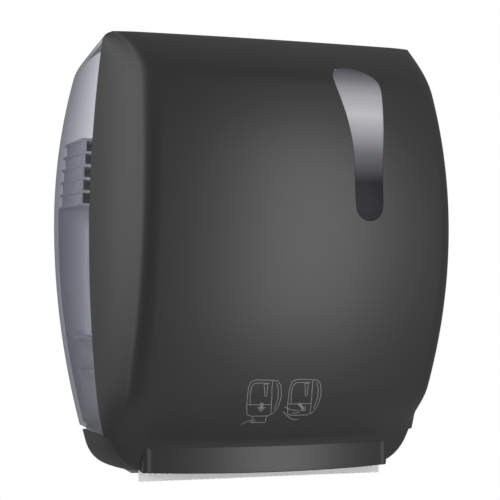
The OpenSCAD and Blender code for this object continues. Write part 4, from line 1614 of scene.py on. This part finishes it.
@dataclass
class Mechanism:
    """The carried nodes inside, in their finishes."""

    swapped: tuple[str, ...] = (
        "front_cover", "smoke_hood", "window_insert", "paper_roll", "towel_tail", "hub_spring",
    )
    finishes: tuple[tuple[Finish, str], ...] = (
        (MouldedPlastic("chassis_grey", (0.20, 0.205, 0.22), 0.55),
         "side_frame_left side_frame_right bottom_tray rear_guide"),
        (MouldedPlastic("wall_plate_pale", (0.78, 0.79, 0.83), 0.5),
         "back_plate battery_box battery_lid"),
        (MouldedPlastic("chassis_dark", (0.02, 0.02, 0.022), 0.5),
         "exit_housing control_panel dc_inlet length_selector power_switch"),
        (MouldedPlastic("arm_black", (0.018, 0.018, 0.02), 0.5),
         "hinge_arm_left hinge_arm_right"),
        (MouldedPlastic("holder_pale", (0.84, 0.85, 0.87), 0.4),
         "roll_arm_left roll_arm_right hub_left hub_post hub_right"),
        (DrawnMetal("steel_drawn", (0.56, 0.57, 0.59)),
         "hinge_pin_left hinge_pin_right idler_pin lock_striker lock_cam"),
        (DrawnMetal("blade_steel", (0.62, 0.63, 0.65), 0.26, (1400.0, 20.0, 20.0)), "tear_bar"),
        (DrawnMetal("contact_steel", (0.5, 0.51, 0.53), 0.3, (300.0, 300.0, 300.0)),
         "battery_contacts"),
        (DrawnMetal("lock_chrome", (0.7, 0.71, 0.73), 0.16, (200.0, 200.0, 30.0)),
         "lock_barrel lock_plug"),
        (MouldedPlastic("roller_grey", (0.08, 0.08, 0.09), 0.35), "feed_roller pinch_roller"),
        (MouldedPlastic("grip_rubber", (0.03, 0.03, 0.032), 0.8, 900.0, 0.0001),
         "feed_sleeve_left feed_sleeve_middle feed_sleeve_right"),
        (MouldedPlastic("gear_acetal", (0.76, 0.74, 0.68), 0.38),
         "drive_gear idler_gear motor_pinion feed_bush_left feed_bush_right"),
        (MouldedPlastic("core_card", (0.36, 0.24, 0.14), 0.9, 500.0, 0.0002, 0.2, 0.2),
         "roll_core"),
        (DrawnMetal("motor_can", (0.48, 0.49, 0.5), 0.35, (40.0, 900.0, 900.0)), "motor"),
        (CellWrap("cell_wrap"), "battery_cells"),
        (BoardLaminate("board_green"), "main_board sensor_board"),
        (MouldedPlastic("button_blue", (0.03, 0.12, 0.34), 0.35), "feed_button"),
        (MouldedPlastic("lens_dark", (0.02, 0.004, 0.008), 0.1, 400.0, 0.00001), "sensor_lens"),
        (MouldedPlastic("light_green", (0.12, 0.55, 0.18), 0.15, 400.0, 0.00001), "led_pipe"),
    )

    def nodes(self) -> list[Thing]:
        """The carried nodes."""
        return [obj for name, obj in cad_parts.items() if name not in self.swapped]

    def dress(self) -> None:
        """Give every carried node its finish."""
        for finish, nodes in self.finishes:
            Shop.dress(finish.make(), nodes.split())


@dataclass(frozen=True)
class Lamp:
    """Soft lamp: its place and its width and height in metres, and its power in watts."""

    name: str
    at: Triple
    size: Spot
    power: float
    aim: Triple = (0.0, -0.1, 0.0)

    def hang(self) -> Thing:
        """Set the lamp up so that it faces the object.

        Returns:
            The lamp.
        """
        data = bpy.data.lights.new(self.name, "AREA")
        data.shape = "RECTANGLE"
        data.size, data.size_y = self.size
        data.energy = self.power
        obj = bpy.data.objects.new(self.name, data)
        obj.location = self.at
        run = Vector(self.aim) - Vector(self.at)
        obj.rotation_euler = run.to_track_quat("-Z", "Y").to_euler()
        bpy.context.scene.collection.objects.link(obj)
        return obj


@dataclass
class Studio:
    """Camera, lamps and floor."""

    eye: Triple = (-328.7, -1131.9, -52.6)
    look: Triple = (0.2921, 0.9553, 0.0454)
    lens: float = 92.63
    sensor: float = 36.0
    clip_start: float = 0.01
    floor_z: float = -2600.0
    floor_half: float = 14.0
    floor_cloud: float = 2.0
    floor_grey: float = 0.8
    floor_light: float = 1.025
    floor_rough: float = 0.9
    mirrored: float = 0.08
    glow: float = 0.99
    ambient: float = 0.16
    lamps: tuple[Lamp, ...] = (
        Lamp("front_soft", (0.6, -1.9, -0.15), (1.4, 3.3), 21.5),
        Lamp("left_strip", (-1.62, 0.86, 0.6), (0.5, 2.4), 6.5),
    )
    inside_lamps: tuple[Lamp, ...] = (
        Lamp("side_inside", (-1.6, -0.7, 0.55), (1.2, 1.2), 15.5),
        Lamp("low_inside", (-0.8, -1.5, -1.1), (1.2, 1.2), 10.0),
        Lamp("right_inside", (1.6, -0.7, 0.55), (1.2, 1.2), 3.0),
    )

    def camera(self) -> None:
        """Set the camera at the photograph's view."""
        data = bpy.data.cameras.new("view")
        data.lens = self.lens
        data.sensor_width = self.sensor
        data.clip_start = self.clip_start
        obj = bpy.data.objects.new("view", data)
        obj.location = Vector(self.eye) * MM
        obj.rotation_euler = Vector(self.look).to_track_quat("-Z", "Y").to_euler()
        bpy.context.scene.collection.objects.link(obj)
        bpy.context.scene.camera = obj

    def light_inside(self, inside: Iterable[Thing]) -> None:
        """Set lamps that reach only the pieces inside and the towel.

        Args:
            inside: The pieces that they reach through the hood.
        """
        lit = bpy.data.collections.new("inside")
        for obj in inside:
            lit.objects.link(obj)
        for lamp in self.inside_lamps:
            lamp.hang().light_linking.receiver_collection = lit

    def seen(self, p: Paint) -> Socket:
        """Share of white that a ray sees: all for the camera, less for mirrors.

        Args:
            p: The material or world in the making.

        Returns:
            The share.
        """
        rays = p.add("ShaderNodeLightPath").outputs
        glossy = p.sums("MULTIPLY", rays["Is Glossy Ray"], self.mirrored)
        share = p.sums("MAXIMUM", rays["Is Camera Ray"], glossy)
        return p.sums("MAXIMUM", share, rays["Is Transmission Ray"])

    def backdrop(self) -> Material:
        """White for the camera, and pale for the light that falls on it.

        Returns:
            The floor's material.
        """
        p = Paint.fresh("pale_floor")
        grey = (self.floor_grey,) * 3
        colour = p.patchy(p.noise(self.floor_cloud), grey, 1.0, self.floor_light)
        matte = p.surface(Base_Color=colour, Roughness=self.floor_rough)
        share = p.sums("MULTIPLY", self.seen(p), self.glow)
        return p.done(p.layered(share, matte, p.add("ShaderNodeEmission")))

    def floor(self) -> None:
        """Lay the floor."""
        bm = bmesh.new()
        bmesh.ops.create_grid(bm, x_segments=8, y_segments=8, size=self.floor_half)
        bmesh.ops.translate(bm, verts=bm.verts, vec=(0, 0, self.floor_z * MM))
        obj = Shop.place("pale_floor", bm)
        obj.data.materials.append(self.backdrop())

    def world(self) -> None:
        """Pale surroundings: white behind the object, dimmer as a light."""
        p = Paint(bpy.data.worlds.new("studio"), "World")
        soft, white = (
            p.add("ShaderNodeBackground", Color=(1, 1, 1, 1), Strength=strength)
            for strength in (self.ambient, 1.0)
        )
        bpy.context.scene.world = p.done(p.layered(self.seen(p), soft, white))

    def build(self) -> None:
        """Set up everything around the object."""
        bpy.context.scene.view_settings.view_transform = "Standard"
        self.camera()
        self.floor()
        self.world()
        for lamp in self.lamps:
            lamp.hang()


def main() -> None:
    """Build the studio and the object, piece by piece."""
    logging.basicConfig(level=logging.INFO)
    studio = Studio()
    studio.build()
    form = BodyForm()
    black = MouldedPlastic(
        "cover_black", (0.016, 0.016, 0.0175), 0.46, 2600.0, 0.00003, specular=0.95, ior=1.6
    )
    # Painted shade: the hood's smoke tint darkens from the seam towards the wall. This stands in
    # for the darker rim where the hood is seen edge-on.
    smoke_tint_painted_rim = Grade("Y", -95.0, 0.0, ((0.0, (0.85, 0.86, 0.9)), (1.0, (0.48, 0.49, 0.54))))
    # The hood's haze is graded up its height, darker at the foot and lighter at the top.
    smoke_haze = Grade("Z", -155.0, 186.0, (
        (0.0, (0.2, 0.2, 0.26)),
        (0.5, (0.26, 0.27, 0.33)),
        (1.0, (0.42, 0.44, 0.5)),
    ))
    smoke = SmokedClear("hood_smoke_painted_rim", smoke_tint_painted_rim, smoke_haze, 0.1)
    # Painted light: the pane's smoke tint is graded up the window. It is dark low and high, and
    # clear in a band about two thirds of the way up, a painted shade and painted highlight over the
    # roll behind it.
    pane_tint_painted_band = Grade("Z", 14.0, 140.0, (
        (0.0, (0.26, 0.26, 0.28)),
        (0.3, (0.3, 0.3, 0.33)),
        (0.67, (0.95, 0.95, 0.97)),
        (1.0, (0.5, 0.5, 0.54)),
    ))
    # Painted light: the pane's haze paints a pale band across the window, brightest about two
    # thirds of the way up and dark above and below. It is a painted highlight and painted shade,
    # not a reflection, and it stays in place under any lamp.
    pane_haze_painted_band = Grade("Z", 14.0, 140.0, (
        (0.0, (0.05, 0.05, 0.055)),
        (0.1, (0.06, 0.058, 0.066)),
        (0.24, (0.05, 0.05, 0.057)),
        (0.42, (0.29, 0.295, 0.32)),
        (0.54, (0.64, 0.645, 0.69)),
        (0.67, (0.98, 0.975, 0.99)),
        (0.8, (0.74, 0.745, 0.78)),
        (0.9, (0.4, 0.4, 0.44)),
        (1.0, (0.14, 0.14, 0.16)),
    ))
    # The window's smoked pane, which carries the painted band of light and shade from the two
    # grades above.
    pane = SmokedClear("window_smoke_painted_band", pane_tint_painted_band, pane_haze_painted_band, 0.84, 0.16, 1.2)
    window = SightWindow(form)
    FrontCover(form).build(window, black.make())
    window.build(pane.make())
    SmokeHood(form).build(smoke.make())
    roll = TowelRoll().build(RolledPaper("wound_paper").make())
    tail = TowelEnd().build(TowelPaper("towel_paper").make())
    PrintedSigns(form).build(MouldedPlastic("sign_ink", (0.42, 0.42, 0.43), 0.6).make())
    wire = DrawnMetal("spring_steel", (0.5, 0.51, 0.53), 0.3, (300.0, 300.0, 300.0))
    coil = HubSpring().build(wire.make())
    mechanism = Mechanism()
    mechanism.dress()
    studio.light_inside([roll, tail, coil, *mechanism.nodes()])


if __name__ == "__main__":
    main()
